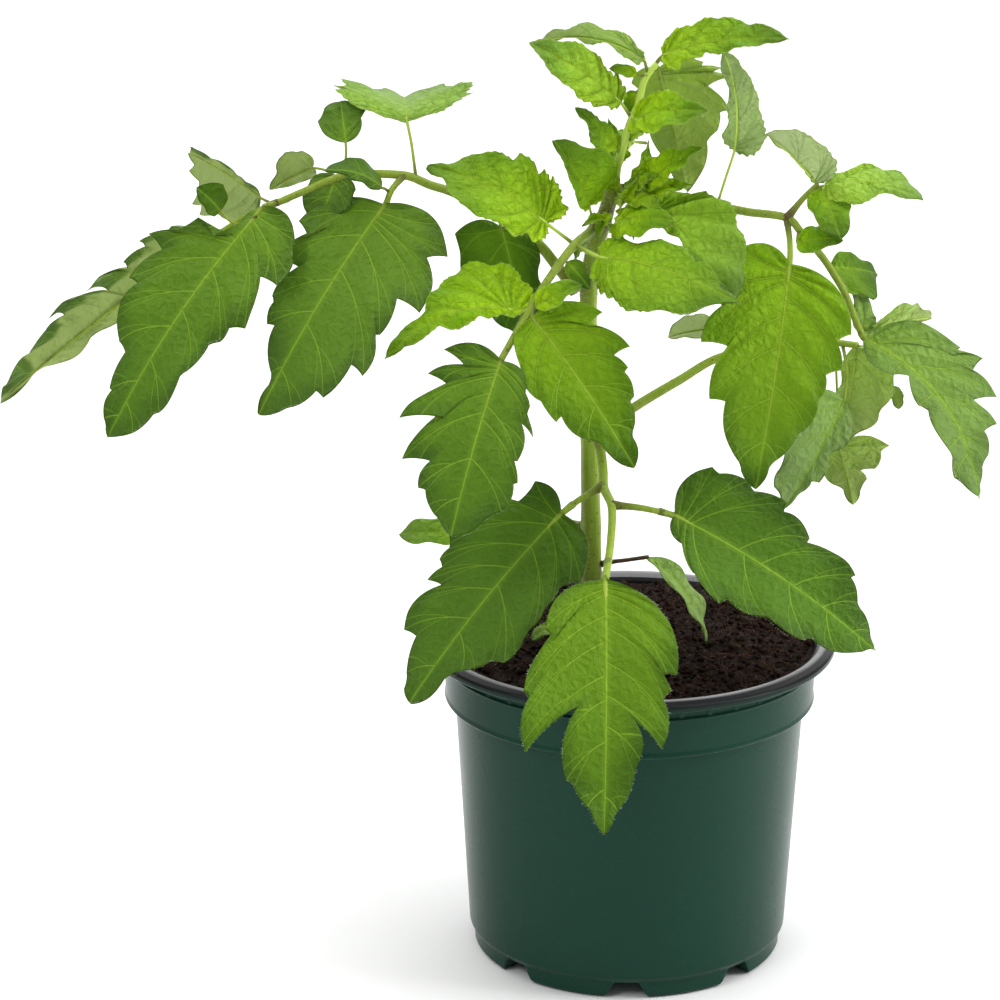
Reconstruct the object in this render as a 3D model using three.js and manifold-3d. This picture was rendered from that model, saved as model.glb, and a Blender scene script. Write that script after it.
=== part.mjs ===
// A young tomato plant in a round nursery pot.
// Millimetres, +Z up. The origin is the middle of the pot's underside, +X is the plant's right seen from
// the front and -Y is the front. The pot is a thin moulded shell filled with peat, the stem stands in a
// plain hole in the peat, and each compound leaf is one body: its stalk, ribs and leaflets grown together.
import {
  BufferGeometry, CatmullRomCurve3, ExtrudeGeometry, Float32BufferAttribute, Group, LatheGeometry,
  MathUtils, Mesh, MeshStandardMaterial, Shape, ShapeUtils, Vector2, Vector3,
} from "three";
import { mergeVertices } from "three/addons/utils/BufferGeometryUtils.js";
import Module from "manifold-3d";

const wasm = await Module();
wasm.setup();

// Driving dimensions
const POT_HEIGHT = 112;
const RIM_RADIUS = 70;
const BAND_RADIUS = 63.2;
const WALL_TOP_RADIUS = 59.6;
const WALL_FOOT_RADIUS = 54.8;
const FOOT_RADIUS = 53.1;
const FOOT_HEIGHT = 6.6;
const BAND_BOTTOM = 90.5;
const SHELL = 1.3;
const LIP_DROP = 4.2;
const ROUND_SEGMENTS = 42;
const CHANNEL_COUNT = 8;
const CHANNEL_TURN = -2;
const CHANNEL_FOOT_WIDTH = 15;
const CHANNEL_TOP_WIDTH = 8;
const CHANNEL_HEIGHT = 6;
const CHANNEL_INNER_RADIUS = 26;
const GAP = 0.35;
const SOIL_TOP = 109;
const SOIL_MOUND = 1.4;
const SOIL_ROUGHNESS = 0.6;
const STEM_RADIUS = 3.6;
const STEM_TOP_RADIUS = 2.3;
const STEM_DEPTH = 24;
const BLADE_THICKNESS = 0.8;
const STALK_STEP = 10;
const LOBE_FLANK = 0.15;

// Joining and cutting
function toSolid(geometry) {
  const bare = geometry.clone();
  bare.deleteAttribute("normal");
  bare.deleteAttribute("uv");
  const merged = mergeVertices(bare, 1e-4);
  return new wasm.Manifold(new wasm.Mesh({
    numProp: 3,
    vertProperties: new Float32Array(merged.attributes.position.array),
    triVerts: new Uint32Array(merged.index.array),
  }));
}

function toGeometry(solid) {
  const mesh = solid.getMesh();
  const geometry = new BufferGeometry();
  geometry.setAttribute("position", new Float32BufferAttribute(mesh.vertProperties, 3));
  geometry.setIndex([...mesh.triVerts]);
  geometry.computeVertexNormals();
  return geometry;
}

function joined(solids) {
  return solids.reduce((whole, next) => whole.add(next));
}

// Lathe solids about Z
function turned(profile) {
  const geometry = new LatheGeometry(profile.map(([r, z]) => new Vector2(r, z)), ROUND_SEGMENTS);
  geometry.rotateX(Math.PI / 2);
  return geometry;
}

// The pot: flat pads and eight drainage channels below, a tapered wall, a stepped band and a flat lip
const innerWall = (z) => {
  const rise = (z - FOOT_HEIGHT) / (BAND_BOTTOM - FOOT_HEIGHT);
  const wall = MathUtils.lerp(WALL_FOOT_RADIUS, WALL_TOP_RADIUS, MathUtils.clamp(rise, 0, 1));
  return wall - SHELL;
};

function potShell() {
  const lipUnder = POT_HEIGHT - LIP_DROP;
  const bandInner = BAND_RADIUS - SHELL;
  const profile = [
    [0, 0], [FOOT_RADIUS - 1, 0], [FOOT_RADIUS, 1], [FOOT_RADIUS + 0.1, FOOT_HEIGHT - 0.6],
    [WALL_FOOT_RADIUS, FOOT_HEIGHT + 1.4], [WALL_TOP_RADIUS, BAND_BOTTOM - 1.6],
    [BAND_RADIUS - 0.7, BAND_BOTTOM], [BAND_RADIUS - 0.2, BAND_BOTTOM + 1.2],
    [BAND_RADIUS + 0.4, lipUnder - 0.4], [BAND_RADIUS + 1.4, lipUnder + 0.2],
    [RIM_RADIUS - 0.6, lipUnder + 0.4], [RIM_RADIUS, lipUnder + 1.1], [RIM_RADIUS, POT_HEIGHT - 1.7],
    [RIM_RADIUS - 0.7, POT_HEIGHT - 1], [RIM_RADIUS - 3.2, POT_HEIGHT],
    [bandInner + 3.2, POT_HEIGHT - 0.3], [bandInner + 0.8, POT_HEIGHT - 2.6],
    [bandInner - 0.2, BAND_BOTTOM + 1.6], [innerWall(BAND_BOTTOM), BAND_BOTTOM - 1],
    [innerWall(FOOT_HEIGHT) + 0.1, FOOT_HEIGHT + 2],
    [FOOT_RADIUS - 2.4, SHELL + 0.6], [FOOT_RADIUS - 3.4, SHELL], [0, SHELL],
  ];
  return toSolid(turned(profile));
}

// A channel's cross section is a trapezoid, wide at the foot; it runs outwards at its own angle
function channelBar(index, spread, height, inner, outer, floor) {
  const shape = new Shape();
  const foot = CHANNEL_FOOT_WIDTH / 2 + spread;
  const top = CHANNEL_TOP_WIDTH / 2 + spread;
  shape.moveTo(-foot, floor);
  shape.lineTo(foot, floor);
  shape.lineTo(top, height);
  shape.lineTo(-top, height);
  shape.closePath();
  const bar = new ExtrudeGeometry(shape, { depth: outer - inner, bevelEnabled: false });
  bar.rotateX(Math.PI / 2);
  bar.translate(0, -inner, 0);
  bar.rotateZ(MathUtils.degToRad(CHANNEL_TURN + (360 / CHANNEL_COUNT) * index));
  return toSolid(bar);
}

function pot() {
  let solid = potShell();
  for (let index = 0; index < CHANNEL_COUNT; index += 1) {
    const roof = CHANNEL_HEIGHT + SHELL;
    solid = solid.add(channelBar(index, SHELL, roof, CHANNEL_INNER_RADIUS - SHELL, FOOT_RADIUS - 1.4, 0));
  }
  for (let index = 0; index < CHANNEL_COUNT; index += 1) {
    solid = solid.subtract(channelBar(index, 0, CHANNEL_HEIGHT, CHANNEL_INNER_RADIUS, RIM_RADIUS, -1));
  }
  return solid;
}

// The peat: fills the pot almost to the lip's top, with a lumpy, slightly mounded top and the stem's hole
function lump(x, y) {
  const broad = Math.sin(0.21 * x + 1.3) * Math.cos(0.17 * y - 0.6);
  const small = Math.sin(0.55 * x - 0.38 * y) + Math.sin(0.31 * x + 0.64 * y + 2);
  return SOIL_ROUGHNESS * (broad + 0.5 * small);
}

function soil(stemPath) {
  const edge = BAND_RADIUS - SHELL - GAP - 0.2;
  const topEdge = edge + 0.8;
  const low = SHELL + GAP;
  const profile = [
    [0, low], [FOOT_RADIUS - 3.8, low], [innerWall(FOOT_HEIGHT) - GAP, FOOT_HEIGHT + 2.6],
    [innerWall(BAND_BOTTOM) - GAP, BAND_BOTTOM - 1], [edge, BAND_BOTTOM + 2],
    [edge, SOIL_TOP - 5], [topEdge, SOIL_TOP - 1.5],
  ];
  const rings = 5;
  for (let ring = 0; ring < rings; ring += 1) {
    const radius = topEdge * (1 - ring / rings) - 0.6;
    profile.push([radius, SOIL_TOP + SOIL_MOUND * (1 - (radius / topEdge) ** 2)]);
  }
  profile.push([0, SOIL_TOP + SOIL_MOUND]);
  const body = turned(profile);
  const position = body.attributes.position;
  for (let i = 0; i < position.count; i += 1) {
    if (position.getZ(i) > SOIL_TOP - 1) {
      position.setZ(i, position.getZ(i) + lump(position.getX(i), position.getY(i)));
    }
  }
  let solid = toSolid(body);
  for (let index = 0; index < CHANNEL_COUNT; index += 1) {
    const roof = CHANNEL_HEIGHT + SHELL + GAP;
    const inner = CHANNEL_INNER_RADIUS - 2 * SHELL;
    solid = solid.subtract(channelBar(index, SHELL + GAP, roof, inner, RIM_RADIUS, -1));
  }
  const foot = new Vector3(...stemPath[0]);
  const holeWay = [foot.clone().setZ(foot.z - 0.5), foot.clone().setZ(SOIL_TOP + 20)];
  return solid.subtract(stalk(holeWay, STEM_RADIUS + GAP, STEM_RADIUS + GAP, 16));
}

// A stalk: a round section carried along a smooth path, and thinned evenly from its start to its end
function stalk(points, startRadius, endRadius, sides = 7) {
  const path = new CatmullRomCurve3(points.map((p) => (p.isVector3 ? p : new Vector3(...p))));
  const steps = Math.max(2, Math.ceil(path.getLength() / STALK_STEP));
  const section = new Shape();
  for (let i = 0; i < sides; i += 1) {
    const turn = (2 * Math.PI * i) / sides;
    const corner = [startRadius * Math.cos(turn), startRadius * Math.sin(turn)];
    if (i === 0) {
      section.moveTo(...corner);
    } else {
      section.lineTo(...corner);
    }
  }
  section.closePath();
  const geometry = new ExtrudeGeometry(section, { steps, extrudePath: path, bevelEnabled: false });
  const centres = path.getSpacedPoints(steps);
  const position = geometry.attributes.position;
  const place = new Vector3();
  for (let i = 0; i < position.count; i += 1) {
    place.fromBufferAttribute(position, i);
    const gaps = centres.map((centre) => centre.distanceTo(place));
    const step = gaps.indexOf(Math.min(...gaps));
    const size = MathUtils.lerp(startRadius, endRadius, step / steps) / startRadius;
    place.sub(centres[step]).multiplyScalar(size).add(centres[step]);
    position.setXYZ(i, place.x, place.y, place.z);
  }
  return toSolid(geometry);
}

// A leaflet's blade. base and tip are the ends of its midrib and face is the way its upper side looks.
// left and right are its edges, tips and notches by turns from the base, each as a distance along the
// midrib and one out from it in percent of the length. bow arches the midrib in percent of the length,
// fold raises the two halves in degrees, and sweep bends the midrib to the left in percent.
function leafletFrame(leaflet) {
  const base = new Vector3(...leaflet.base);
  const along = new Vector3(...leaflet.tip).sub(base);
  const length = along.length();
  along.normalize();
  const face = new Vector3(...leaflet.face);
  face.addScaledVector(along, -face.dot(along)).normalize();
  const out = new Vector3().crossVectors(face, along);
  const slope = Math.tan(MathUtils.degToRad(leaflet.fold ?? 0));
  const bow = (leaflet.bow ?? 0) / 100;
  const sweep = (leaflet.sweep ?? 0) / 100;
  const midrib = (s) => sweep * 4 * s * (1 - s);
  const place = (s, w) => {
    const inside = MathUtils.clamp(s, 0, 1);
    const rise = bow * 4 * inside * (1 - inside) + slope * Math.abs(w - midrib(inside));
    return base.clone().addScaledVector(along, s * length).addScaledVector(out, w * length)
      .addScaledVector(face, rise * length);
  };
  return { place, midrib, face, length };
}

// The edge from the base to the tip, with a rounded flank before each pointed lobe
function bladeEdge(numbers, side) {
  const points = [[0, 0]];
  const add = (s, w) => {
    const [s0, w0] = points[points.length - 1];
    const reach = Math.hypot(s - s0, w - w0);
    const toLobe = points.length === 1 || numbers.lobe;
    if (toLobe && reach > LOBE_FLANK) {
      const swell = numbers.swell * reach;
      points.push([(s + s0) / 2 - (swell * (w - w0)) / reach, (w + w0) / 2 + (swell * (s - s0)) / reach]);
    }
    points.push([s, w]);
  };
  const list = numbers.list;
  for (let i = 0; i < list.length; i += 2) {
    numbers.lobe = (i / 2) % 2 === 0;
    add(list[i] / 100, list[i + 1] / 100);
  }
  numbers.lobe = true;
  add(1, 0);
  return points.slice(1, -1).map(([s, w]) => [s, side * w]);
}

function blade(leaflet) {
  const { place, midrib, face, length } = leafletFrame(leaflet);
  const ribSteps = length > 30 ? 5 : 3;
  const rib = [];
  for (let i = 0; i <= ribSteps; i += 1) {
    rib.push([i / ribSteps, midrib(i / ribSteps)]);
  }
  const left = bladeEdge({ list: leaflet.left, swell: 0.13 }, 1);
  const right = bladeEdge({ list: leaflet.right, swell: 0.13 }, -1);
  const flat = [...rib, ...left, ...right];
  const ribIds = rib.map((_, i) => i);
  const leftIds = left.map((_, i) => rib.length + i);
  const rightIds = right.map((_, i) => rib.length + left.length + i);
  const triangles = [];
  const fill = (loop) => {
    const corners = loop.map((id) => new Vector2(...flat[id]));
    for (const [a, b, c] of ShapeUtils.triangulateShape(corners, [])) {
      const turn = corners[b].clone().sub(corners[a]).cross(corners[c].clone().sub(corners[a]));
      triangles.push(turn > 0 ? [loop[a], loop[b], loop[c]] : [loop[a], loop[c], loop[b]]);
    }
  };
  fill([...ribIds, ...leftIds.slice().reverse()]);
  fill([...ribIds, ...rightIds.slice().reverse()]);
  const upper = flat.map(([s, w]) => place(s, w));
  const lower = upper.map((p) => p.clone().addScaledVector(face, -BLADE_THICKNESS));
  const count = flat.length;
  const index = [];
  for (const [a, b, c] of triangles) {
    index.push(a, b, c, count + a, count + c, count + b);
  }
  const loop = [0, ...rightIds, ribIds[ribSteps], ...leftIds.slice().reverse()];
  for (let i = 0; i < loop.length; i += 1) {
    const a = loop[i];
    const b = loop[(i + 1) % loop.length];
    index.push(a, count + a, count + b, a, count + b, b);
  }
  return new wasm.Manifold(new wasm.Mesh({
    numProp: 3,
    vertProperties: new Float32Array([...upper, ...lower].flatMap((p) => p.toArray())),
    triVerts: new Uint32Array(index),
  }));
}

// The leaflet's own stalk, which runs on under the blade as its midrib
function rib(leaflet) {
  const { place, midrib, face, length } = leafletFrame(leaflet);
  const radius = MathUtils.clamp(length / 75, 0.55, 1.1);
  const under = (s) => place(s, midrib(s)).addScaledVector(face, -BLADE_THICKNESS * 0.7);
  const points = [...(leaflet.from ?? []).map((p) => new Vector3(...p)), under(0), under(0.3)];
  return stalk(points, radius, radius * 0.6, 4);
}

function leafSolid(leaf) {
  const pieces = [stalk(leaf.stalk, leaf.thick, leaf.thin, 6)];
  for (const branch of leaf.branches ?? []) {
    pieces.push(stalk(branch, leaf.thin, leaf.thin * 0.8, 5));
  }
  for (const leaflet of leaf.leaflets) {
    pieces.push(blade(leaflet), rib(leaflet));
  }
  return joined(pieces);
}

const STEM_PATH = [
  [-13, 0, SOIL_TOP - STEM_DEPTH], [-13, 0, 124], [-13.5, 0, 152], [-14.1, 0, 180], [-14.4, 0, 208],
  [-15, 0, 229], [-14.2, 0, 242], [-11.3, 0, 252], [-8.8, 0, 261], [-6.9, 0, 268],
];

// Leaf 1: the long leaf that arches out to the left
const leaf1 = {
  stalk: [
    [-18.9, 1.5, 231.4], [-21, 3, 234], [-26, 5, 240], [-31, 6, 246], [-38, 7, 251], [-44, 7, 255.5],
    [-60.5, 7, 264], [-67.5, 6, 266.5], [-74, 5, 269.5], [-80.5, 4, 270.5], [-95, 2, 270.5],
    [-109, 0, 265.5], [-117, -2, 262.5], [-122, -3, 261],
  ],
  thick: 1.9,
  thin: 1.1,
  leaflets: [
    { from: [[-76, 4.5, 270], [-80, 0, 266]],
      base: [-82, -3, 262], tip: [-123, -30, 198], face: [-0.3, -0.85, 0.4],
      bow: 6, fold: 7,
      left: [8, 38, 12, 30, 34, 42, 33, 30, 49, 31, 50, 29,
        67, 34, 65, 27, 82, 23, 81, 19, 91, 11, 94, 8],
      right: [24, 25, 28, 18, 43, 27, 40, 16, 56, 18, 58, 16, 67, 14, 66, 11, 83, 4, 88, 2] },
    { from: [[-117, -2, 262.5]], base: [-122, -3, 261], tip: [-173, -26, 189], face: [-0.4, -0.82, 0.4],
      bow: 7, fold: 6,
      left: [4, 20, 11, 25, 21, 26, 22, 17, 40, 27, 43, 21,
        49, 20, 52, 17, 64, 17, 67, 16, 82, 14, 84, 12],
      right: [9, 3, 19, 7, 16, 16, 25, 20, 31, 29, 33, 21, 48, 24,
        48, 20, 69, 15, 71, 11, 85, 8, 85, 7, 95, 4, 97, 2] },
    { from: [[-44, 7, 255.5]], base: [-44, 3.5, 253], tip: [-36, 8, 213], face: [0.1, -0.75, 0.65],
      bow: 8, fold: 5,
      left: [36, 24, 50, 20, 88, 8, 94, 6], right: [-6, 39, 15, 42, 46, 34, 60, 26, 82, 16, 90, 8] },
    { from: [[-114, -1, 263.5], [-128, 5, 256]],
      base: [-140, 9, 248], tip: [-214, 18, 189], face: [0.35, 0.8, 0.45],
      bow: 6, fold: -8,
      left: [5, 15, 13, 11, 21, 15, 22, 11, 30, 13, 32, 9, 44, 16, 43, 6, 63, 15, 62, 9, 76, 10, 80, 7],
      right: [28, 5, 34, 3, 54, 4, 60, 3, 80, 2, 86, 1] },
    { from: [[-97, 2, 270.5]], base: [-98, 2, 270], tip: [-104, -2, 252], face: [-0.1, -0.8, 0.6],
      bow: 10, fold: 5,
      left: [10, 41, 22, 41, 50, 36, 65, 25], right: [18, 41, 34, 42, 68, 34, 80, 24] },
    { from: [[-80.5, -0.6, 265.4], [-82, -2, 267]],
      base: [-83, -4, 268], tip: [-101, -10, 275], face: [0, -0.55, 0.83],
      bow: 14, fold: -10,
      left: [28, 17, 40, 16, 62, 13, 71, 9], right: [22, 42, 33, 43, 66, 32, 78, 21] },
    { from: [[-96, 2, 270.5], [-95, 4, 276]],
      base: [-95, 5, 281], tip: [-97, 14, 293], face: [0.1, -0.85, 0.5],
      bow: 5, fold: 10,
      left: [50, 56, 80, 38], right: [46, 40, 62, 40, 84, 60, 88, 26] },
    { from: [[-98, 1.7, 270], [-102, 6, 271.5]],
      base: [-106, 8, 272], tip: [-121, 15, 263], face: [0, 0.8, 0.6],
      bow: 5, fold: 6,
      left: [-10, 42, 2, 44, 20, 55, 36, 46, 62, 26, 76, 15],
      right: [27, 26, 43, 24, 66, 20, 84, 12] },
    { from: [[-119, -2, 262]], base: [-123, 3, 263], tip: [-148, 22, 274], face: [0.1, 0.9, 0.3],
      bow: 5, fold: 4,
      left: [22, 8, 41, 4, 56, 11, 76, 5, 93, 14, 98, 8],
      right: [54, 57, 66, 54, 83, 68, 82, 56, 93, 60, 88, 30, 98, 20, 94, 12] },
    { from: [[-124, -5, 258.5], [-131, -4, 255.5]],
      base: [-136, -4, 260], tip: [-143, -10, 269], face: [0, -0.8, 0.6],
      bow: 8, fold: 10,
      left: [45, 34, 78, 26], right: [30, 47, 48, 50] },
    { from: [[-72, 5, 269], [-73.5, 8, 280]],
      base: [-75, 12, 287], tip: [-77, 50, 287.5], face: [0, 0.1, 1],
      bow: 5, fold: 20,
      left: [12, 62, 20, 52, 34, 63, 40, 52, 54, 56, 60, 42, 76, 34, 82, 20],
      right: [10, 58, 20, 52, 36, 58, 42, 48, 58, 48, 64, 36, 78, 28, 84, 16] },
  ],
};

// Leaf 2: the leaf that comes forwards on the left, with cut leaflets
const leaf2 = {
  stalk: [
    [-12.4, -3.1, 255.6], [-15, -7, 253.5], [-20, -16, 251.5], [-26.5, -24, 245], [-34.5, -32, 234.5],
    [-39, -37, 227.5], [-44, -43, 220],
  ],
  thick: 1.6,
  thin: 1.1,
  leaflets: [
    { from: [[-20, -16, 251.5]], base: [-29, -17, 259], tip: [-68, -14, 277], face: [0.1, -0.6, 0.8],
      bow: 10, fold: 8,
      left: [5, 29, 12, 24, 20, 33, 29, 31, 52, 34, 60, 30, 79, 21, 86, 10],
      right: [-10, 20, -4, 21, 11, 39, 11, 33, 19, 38, 22, 28,
        41, 40, 43, 31, 65, 25, 70, 21, 79, 16, 87, 6] },
    { from: [[-20, -16, 251.5]],
      base: [-12.1, -23, 249.3], tip: [31.5, -53, 241.3], face: [0.25, -0.75, 0.62],
      bow: 8, fold: -6,
      left: [2, 20, 21, 17, 33, 22, 42, 21, 57, 18, 61, 15, 83, 6, 86, 4],
      right: [9, 19, 13, 21, 21, 29, 22, 27, 27, 30, 29, 28,
        42, 33, 47, 32, 57, 31, 66, 26, 81, 15, 89, 9] },
    { from: [[-33.5, -31, 236]], base: [-37, -34, 234], tip: [-81, -50, 222], face: [-0.2, -0.65, 0.73],
      bow: 10, fold: -12, sweep: -10,
      left: [10, 2, 15, 0, 27, 2, 31, -1, 54, -1, 59, -4, 80, -1, 85, -2],
      right: [-14, 24, -12, 28, -8, 54, -2, 54, 21, 53, 28, 47,
        43, 40, 48, 35, 61, 22, 70, 18, 84, 13, 90, 9] },
    { from: [[-33.5, -31, 236]], base: [-34, -34, 232], tip: [-1, -50, 186], face: [0.1, -0.85, 0.45],
      bow: 8, fold: 6,
      left: [20, 32, 22, 21, 44, 34, 43, 24, 53, 26, 54, 23, 68, 20, 69, 17, 83, 10, 86, 8],
      right: [17, 22, 26, 26, 40, 26, 42, 25, 56, 24, 55, 20, 74, 14, 79, 10] },
    { from: [[-42, -41, 223]], base: [-44, -43, 220], tip: [-60, -66, 168], face: [-0.15, -0.85, 0.45],
      bow: 6, fold: 6,
      left: [13, 19, 16, 20, 22, 24, 28, 24, 38, 30, 32, 22,
        53, 26, 53, 24, 64, 29, 65, 27, 81, 24, 87, 17],
      right: [3, 31, 9, 17, 18, 36, 22, 22, 46, 43, 40, 20,
        67, 36, 64, 21, 80, 23, 80, 19, 91, 12, 95, 7] },
    { from: [[-34, -32, 234.5]], base: [-33, -33, 235], tip: [-18, -36, 243], face: [0.1, -0.7, 0.7],
      bow: 8, fold: 5,
      left: [40, 27, 54, 24], right: [50, 24, 72, 14] },
    { from: [[-13.6, -5, 255]], base: [-15, -10, 263], tip: [-27, -16, 286], face: [0.5, -0.8, 0.3],
      bow: 8, fold: 20,
      left: [14, 20, 26, 19, 55, 13, 61, 10],
      right: [6, 24, 10, 26, 26, 48, 40, 47, 64, 34, 76, 22] },
    { from: [[-24, -21, 247.5]], base: [-22.5, -21, 247], tip: [-15, -22, 238], face: [0.2, -0.8, 0.5],
      bow: 5, fold: 5,
      left: [40, 34, 60, 22], right: [40, 30, 60, 20] },
    { from: [[-38, -36, 229]], base: [-38, -36.5, 227], tip: [-37, -37, 220], face: [0.2, -0.9, 0.3],
      bow: 5, fold: 5,
      left: [45, 40, 65, 30], right: [45, 36, 65, 28] },
  ],
};

// Leaf 3: the low leaf at the front, whose middle leaflet hangs over the pot's lip
const leaf3 = {
  stalk: [
    [-12.4, -4.1, 184], [-11, -7, 180.5], [-10, -12, 174], [-9.8, -18, 169.5], [-7.5, -28, 166],
    [-8, -38, 157.5], [-10, -50, 148],
  ],
  thick: 1.7,
  thin: 1.2,
  branches: [
    [[-9.9, -17.5, 170], [-17.8, -22, 166.5], [-24, -26, 163]],
    [[-7.6, -27, 166.2], [2, -28, 165.5], [13, -28, 163]],
  ],
  leaflets: [
    { from: [[-20, -23, 165.2]],
      base: [-24, -26, 163], tip: [-74, -52, 106], face: [-0.45, -0.85, 0.35],
      bow: 6, fold: 6,
      left: [19, 28, 26, 22, 32, 24, 40, 26, 45, 26, 52, 26, 64, 24, 67, 19, 77, 12, 84, 8],
      right: [-4, 17, 8, 18, 13, 30, 23, 30, 36, 29, 40, 26, 46, 27,
        48, 24, 56, 25, 54, 19, 78, 20, 77, 14, 91, 9, 97, 5] },
    { from: [[8, -28, 164.3]], base: [13, -28, 163], tip: [79, -46, 122], face: [0.3, -0.75, 0.6],
      bow: 7, fold: 8,
      left: [2, 26, 6, 25, 18, 30, 22, 27, 36, 28, 37, 24, 52, 22,
        52, 20, 76, 19, 75, 17, 83, 11, 87, 10, 94, 6, 97, 3],
      right: [10, 10, 11, 11, 20, 22, 21, 22, 36, 27, 38, 23, 54, 21, 57, 21, 73, 18, 75, 15, 96, 5, 98, 2] },
    { from: [[-9, -44, 153]], base: [-10, -50, 148], tip: [-11, -92, 76], face: [0.05, -0.85, 0.5],
      bow: 7, fold: 7,
      left: [39, 27, 39, 21, 45, 25, 48, 22, 68, 21, 57, 11, 72, 13, 79, 11, 91, 5, 93, 4],
      right: [22, 24, 26, 20, 47, 32, 49, 30, 70, 31, 52, 11, 80, 15, 82, 12, 90, 7, 93, 5] },
  ],
};

// Leaf 4: the leaf that arches out to the right
const leaf4 = {
  stalk: [
    [-4.4, 1.2, 266], [1.6, 3, 265.3], [14.5, 3, 262.7], [27, 0, 260.8], [36.5, -5, 260], [50, -14, 259.5],
    [53.6, -15, 255.5], [61, -16, 247], [65, -16, 241], [68.5, -16, 235], [72, -15, 226.5], [75, -15, 220],
  ],
  thick: 1.6,
  thin: 1.1,
  branches: [[[49, -13.8, 259.7], [54, -13.5, 266], [59, -13, 271]]],
  leaflets: [
    { from: [[27, 0, 260.8], [29.5, -4, 271]],
      base: [32, -9, 281], tip: [28, -4, 313], face: [0.5, 0.8, -0.2],
      bow: -6, fold: 6, sweep: 12,
      left: [0, 28, 5, 31, 37, 35, 43, 33, 79, 22, 84, 17], right: [18, 10, 29, 3, 50, -3, 62, -3] },
    { from: [[57, -13, 269]], base: [59, -13, 271], tip: [42, -10, 287], face: [0.3, 0.7, 0.6],
      bow: 6, fold: 8,
      left: [8, 52, 14, 50, 32, 53, 45, 44, 78, 36, 88, 22], right: [36, 6, 46, 4, 78, 8, 89, 5] },
    { from: [[57, -13, 269]], base: [61, -14, 271], tip: [92, -24, 268], face: [0.1, -0.5, 0.86],
      bow: 12, fold: -12,
      left: [14, 25, 21, 26, 48, 34, 56, 31, 79, 22, 86, 15],
      right: [22, 27, 37, 29, 58, 14, 72, 8] },
    { from: [[57, -13, 269]], base: [60, -15, 270], tip: [65, -32, 257], face: [-0.1, -0.8, 0.6],
      bow: 10, fold: -8,
      left: [51, 31, 76, 22], right: [30, 30, 52, 26] },
    { from: [[49, -14, 259.7], [50, -17, 252]],
      base: [50, -19, 246], tip: [39, -38, 175], face: [0.12, -0.85, 0.5],
      bow: 6, fold: 6,
      left: [27, 30, 31, 24, 43, 29, 46, 22, 55, 22, 57, 20, 71, 17, 74, 14, 86, 7, 90, 4],
      right: [-4, 22, 3, 25, 17, 31, 23, 28, 40, 35, 40, 23, 64, 27, 64, 20, 89, 10, 93, 8] },
    { from: [[53, -15, 256.5]], base: [52, -20, 253], tip: [66, -28, 256], face: [0.1, -0.7, 0.7],
      bow: 8, fold: 6,
      left: [30, 34, 43, 30], right: [48, 36, 64, 28] },
    { from: [[63, -16, 244]], base: [64, -12, 243], tip: [81, 2, 237], face: [0.2, -0.7, 0.65],
      bow: 6, fold: 5,
      left: [44, 26, 71, 17], right: [24, 46, 58, 52, 73, 38] },
    { from: [[74, -15, 222]], base: [75, -15, 220], tip: [113, -32, 170], face: [0.35, -0.82, 0.45],
      bow: 6, fold: 6, sweep: 12,
      left: [33, 38, 34, 31, 44, 43, 46, 34, 64, 39, 58, 26,
        75, 29, 74, 21, 85, 16, 88, 10, 94, 6, 97, 4],
      right: [24, 2, 29, -4, 44, 0, 49, -3, 71, 2, 75, 2, 84, 6, 89, 4] },
    { from: [[74, -14, 222]], base: [77, -9, 220], tip: [100, 8, 221], face: [0.1, 0.7, 0.7],
      bow: 5, fold: 5,
      left: [60, 30, 82, 20], right: [10, 46, 20, 48, 60, 34, 80, 18] },
    { from: [[75, -14.5, 220.5]], base: [75.5, -13, 221], tip: [73.5, -9, 237], face: [0.3, -0.9, 0.2],
      bow: 6, fold: 8,
      left: [30, 26, 76, 20], right: [28, 26, 80, 14] },
  ],
};

// Leaf 5: behind on the right, mostly seen from below
const leaf5 = {
  stalk: [
    [-11.1, 1.8, 184.4], [-5, 5, 186.5], [3, 10, 190.5], [16.5, 16, 197], [30, 21, 203.5], [51, 24, 207],
    [68, 24, 208], [77, 20, 208],
  ],
  thick: 1.7,
  thin: 1.1,
  leaflets: [
    { from: [[36, 22, 205]], base: [29, 25, 213], tip: [13, 28, 209], face: [0, 0.75, 0.66],
      bow: 5, fold: 5,
      left: [28, 52, 51, 46], right: [39, 42, 64, 28] },
    { from: [[75, 21, 208]], base: [77, 20, 208], tip: [70, 13, 173], face: [0.6, 0.75, 0.3],
      bow: 5, fold: 6,
      left: [26, 14, 39, 14, 59, 18, 73, 13],
      right: [18, 41, 30, 40, 49, 38, 58, 32, 76, 22, 87, 11] },
    { from: [[69.5, 23.6, 208], [71, 26.5, 190]],
      base: [72, 26, 171], tip: [78, 28, 149], face: [0.1, 0.8, 0.5],
      bow: 5, fold: 5,
      left: [10, 37, 34, 36, 65, 24, 76, 12],
      right: [17, 74, 26, 58, 50, 44, 49, 20, 65, 28, 82, 14] },
    { from: [[72, 23, 208], [73, 16, 200]],
      base: [72, 12, 191], tip: [52, 4, 155], face: [0.5, -0.6, 0.6],
      bow: 6, fold: 12,
      left: [35, 15, 45, 8, 68, 12, 70, 6, 80, 6, 86, 4],
      right: [14, 34, 22, 31, 38, 33, 46, 28, 59, 29, 73, 24, 88, 20, 92, 11] },
    { from: [[77, 20, 208], [84, 18, 202]],
      base: [88, 16, 195], tip: [91, 15, 187], face: [0.3, 0.7, 0.5],
      bow: 4, fold: 5,
      left: [24, 24, 66, 22], right: [53, 40, 76, 30] },
  ],
};

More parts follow.
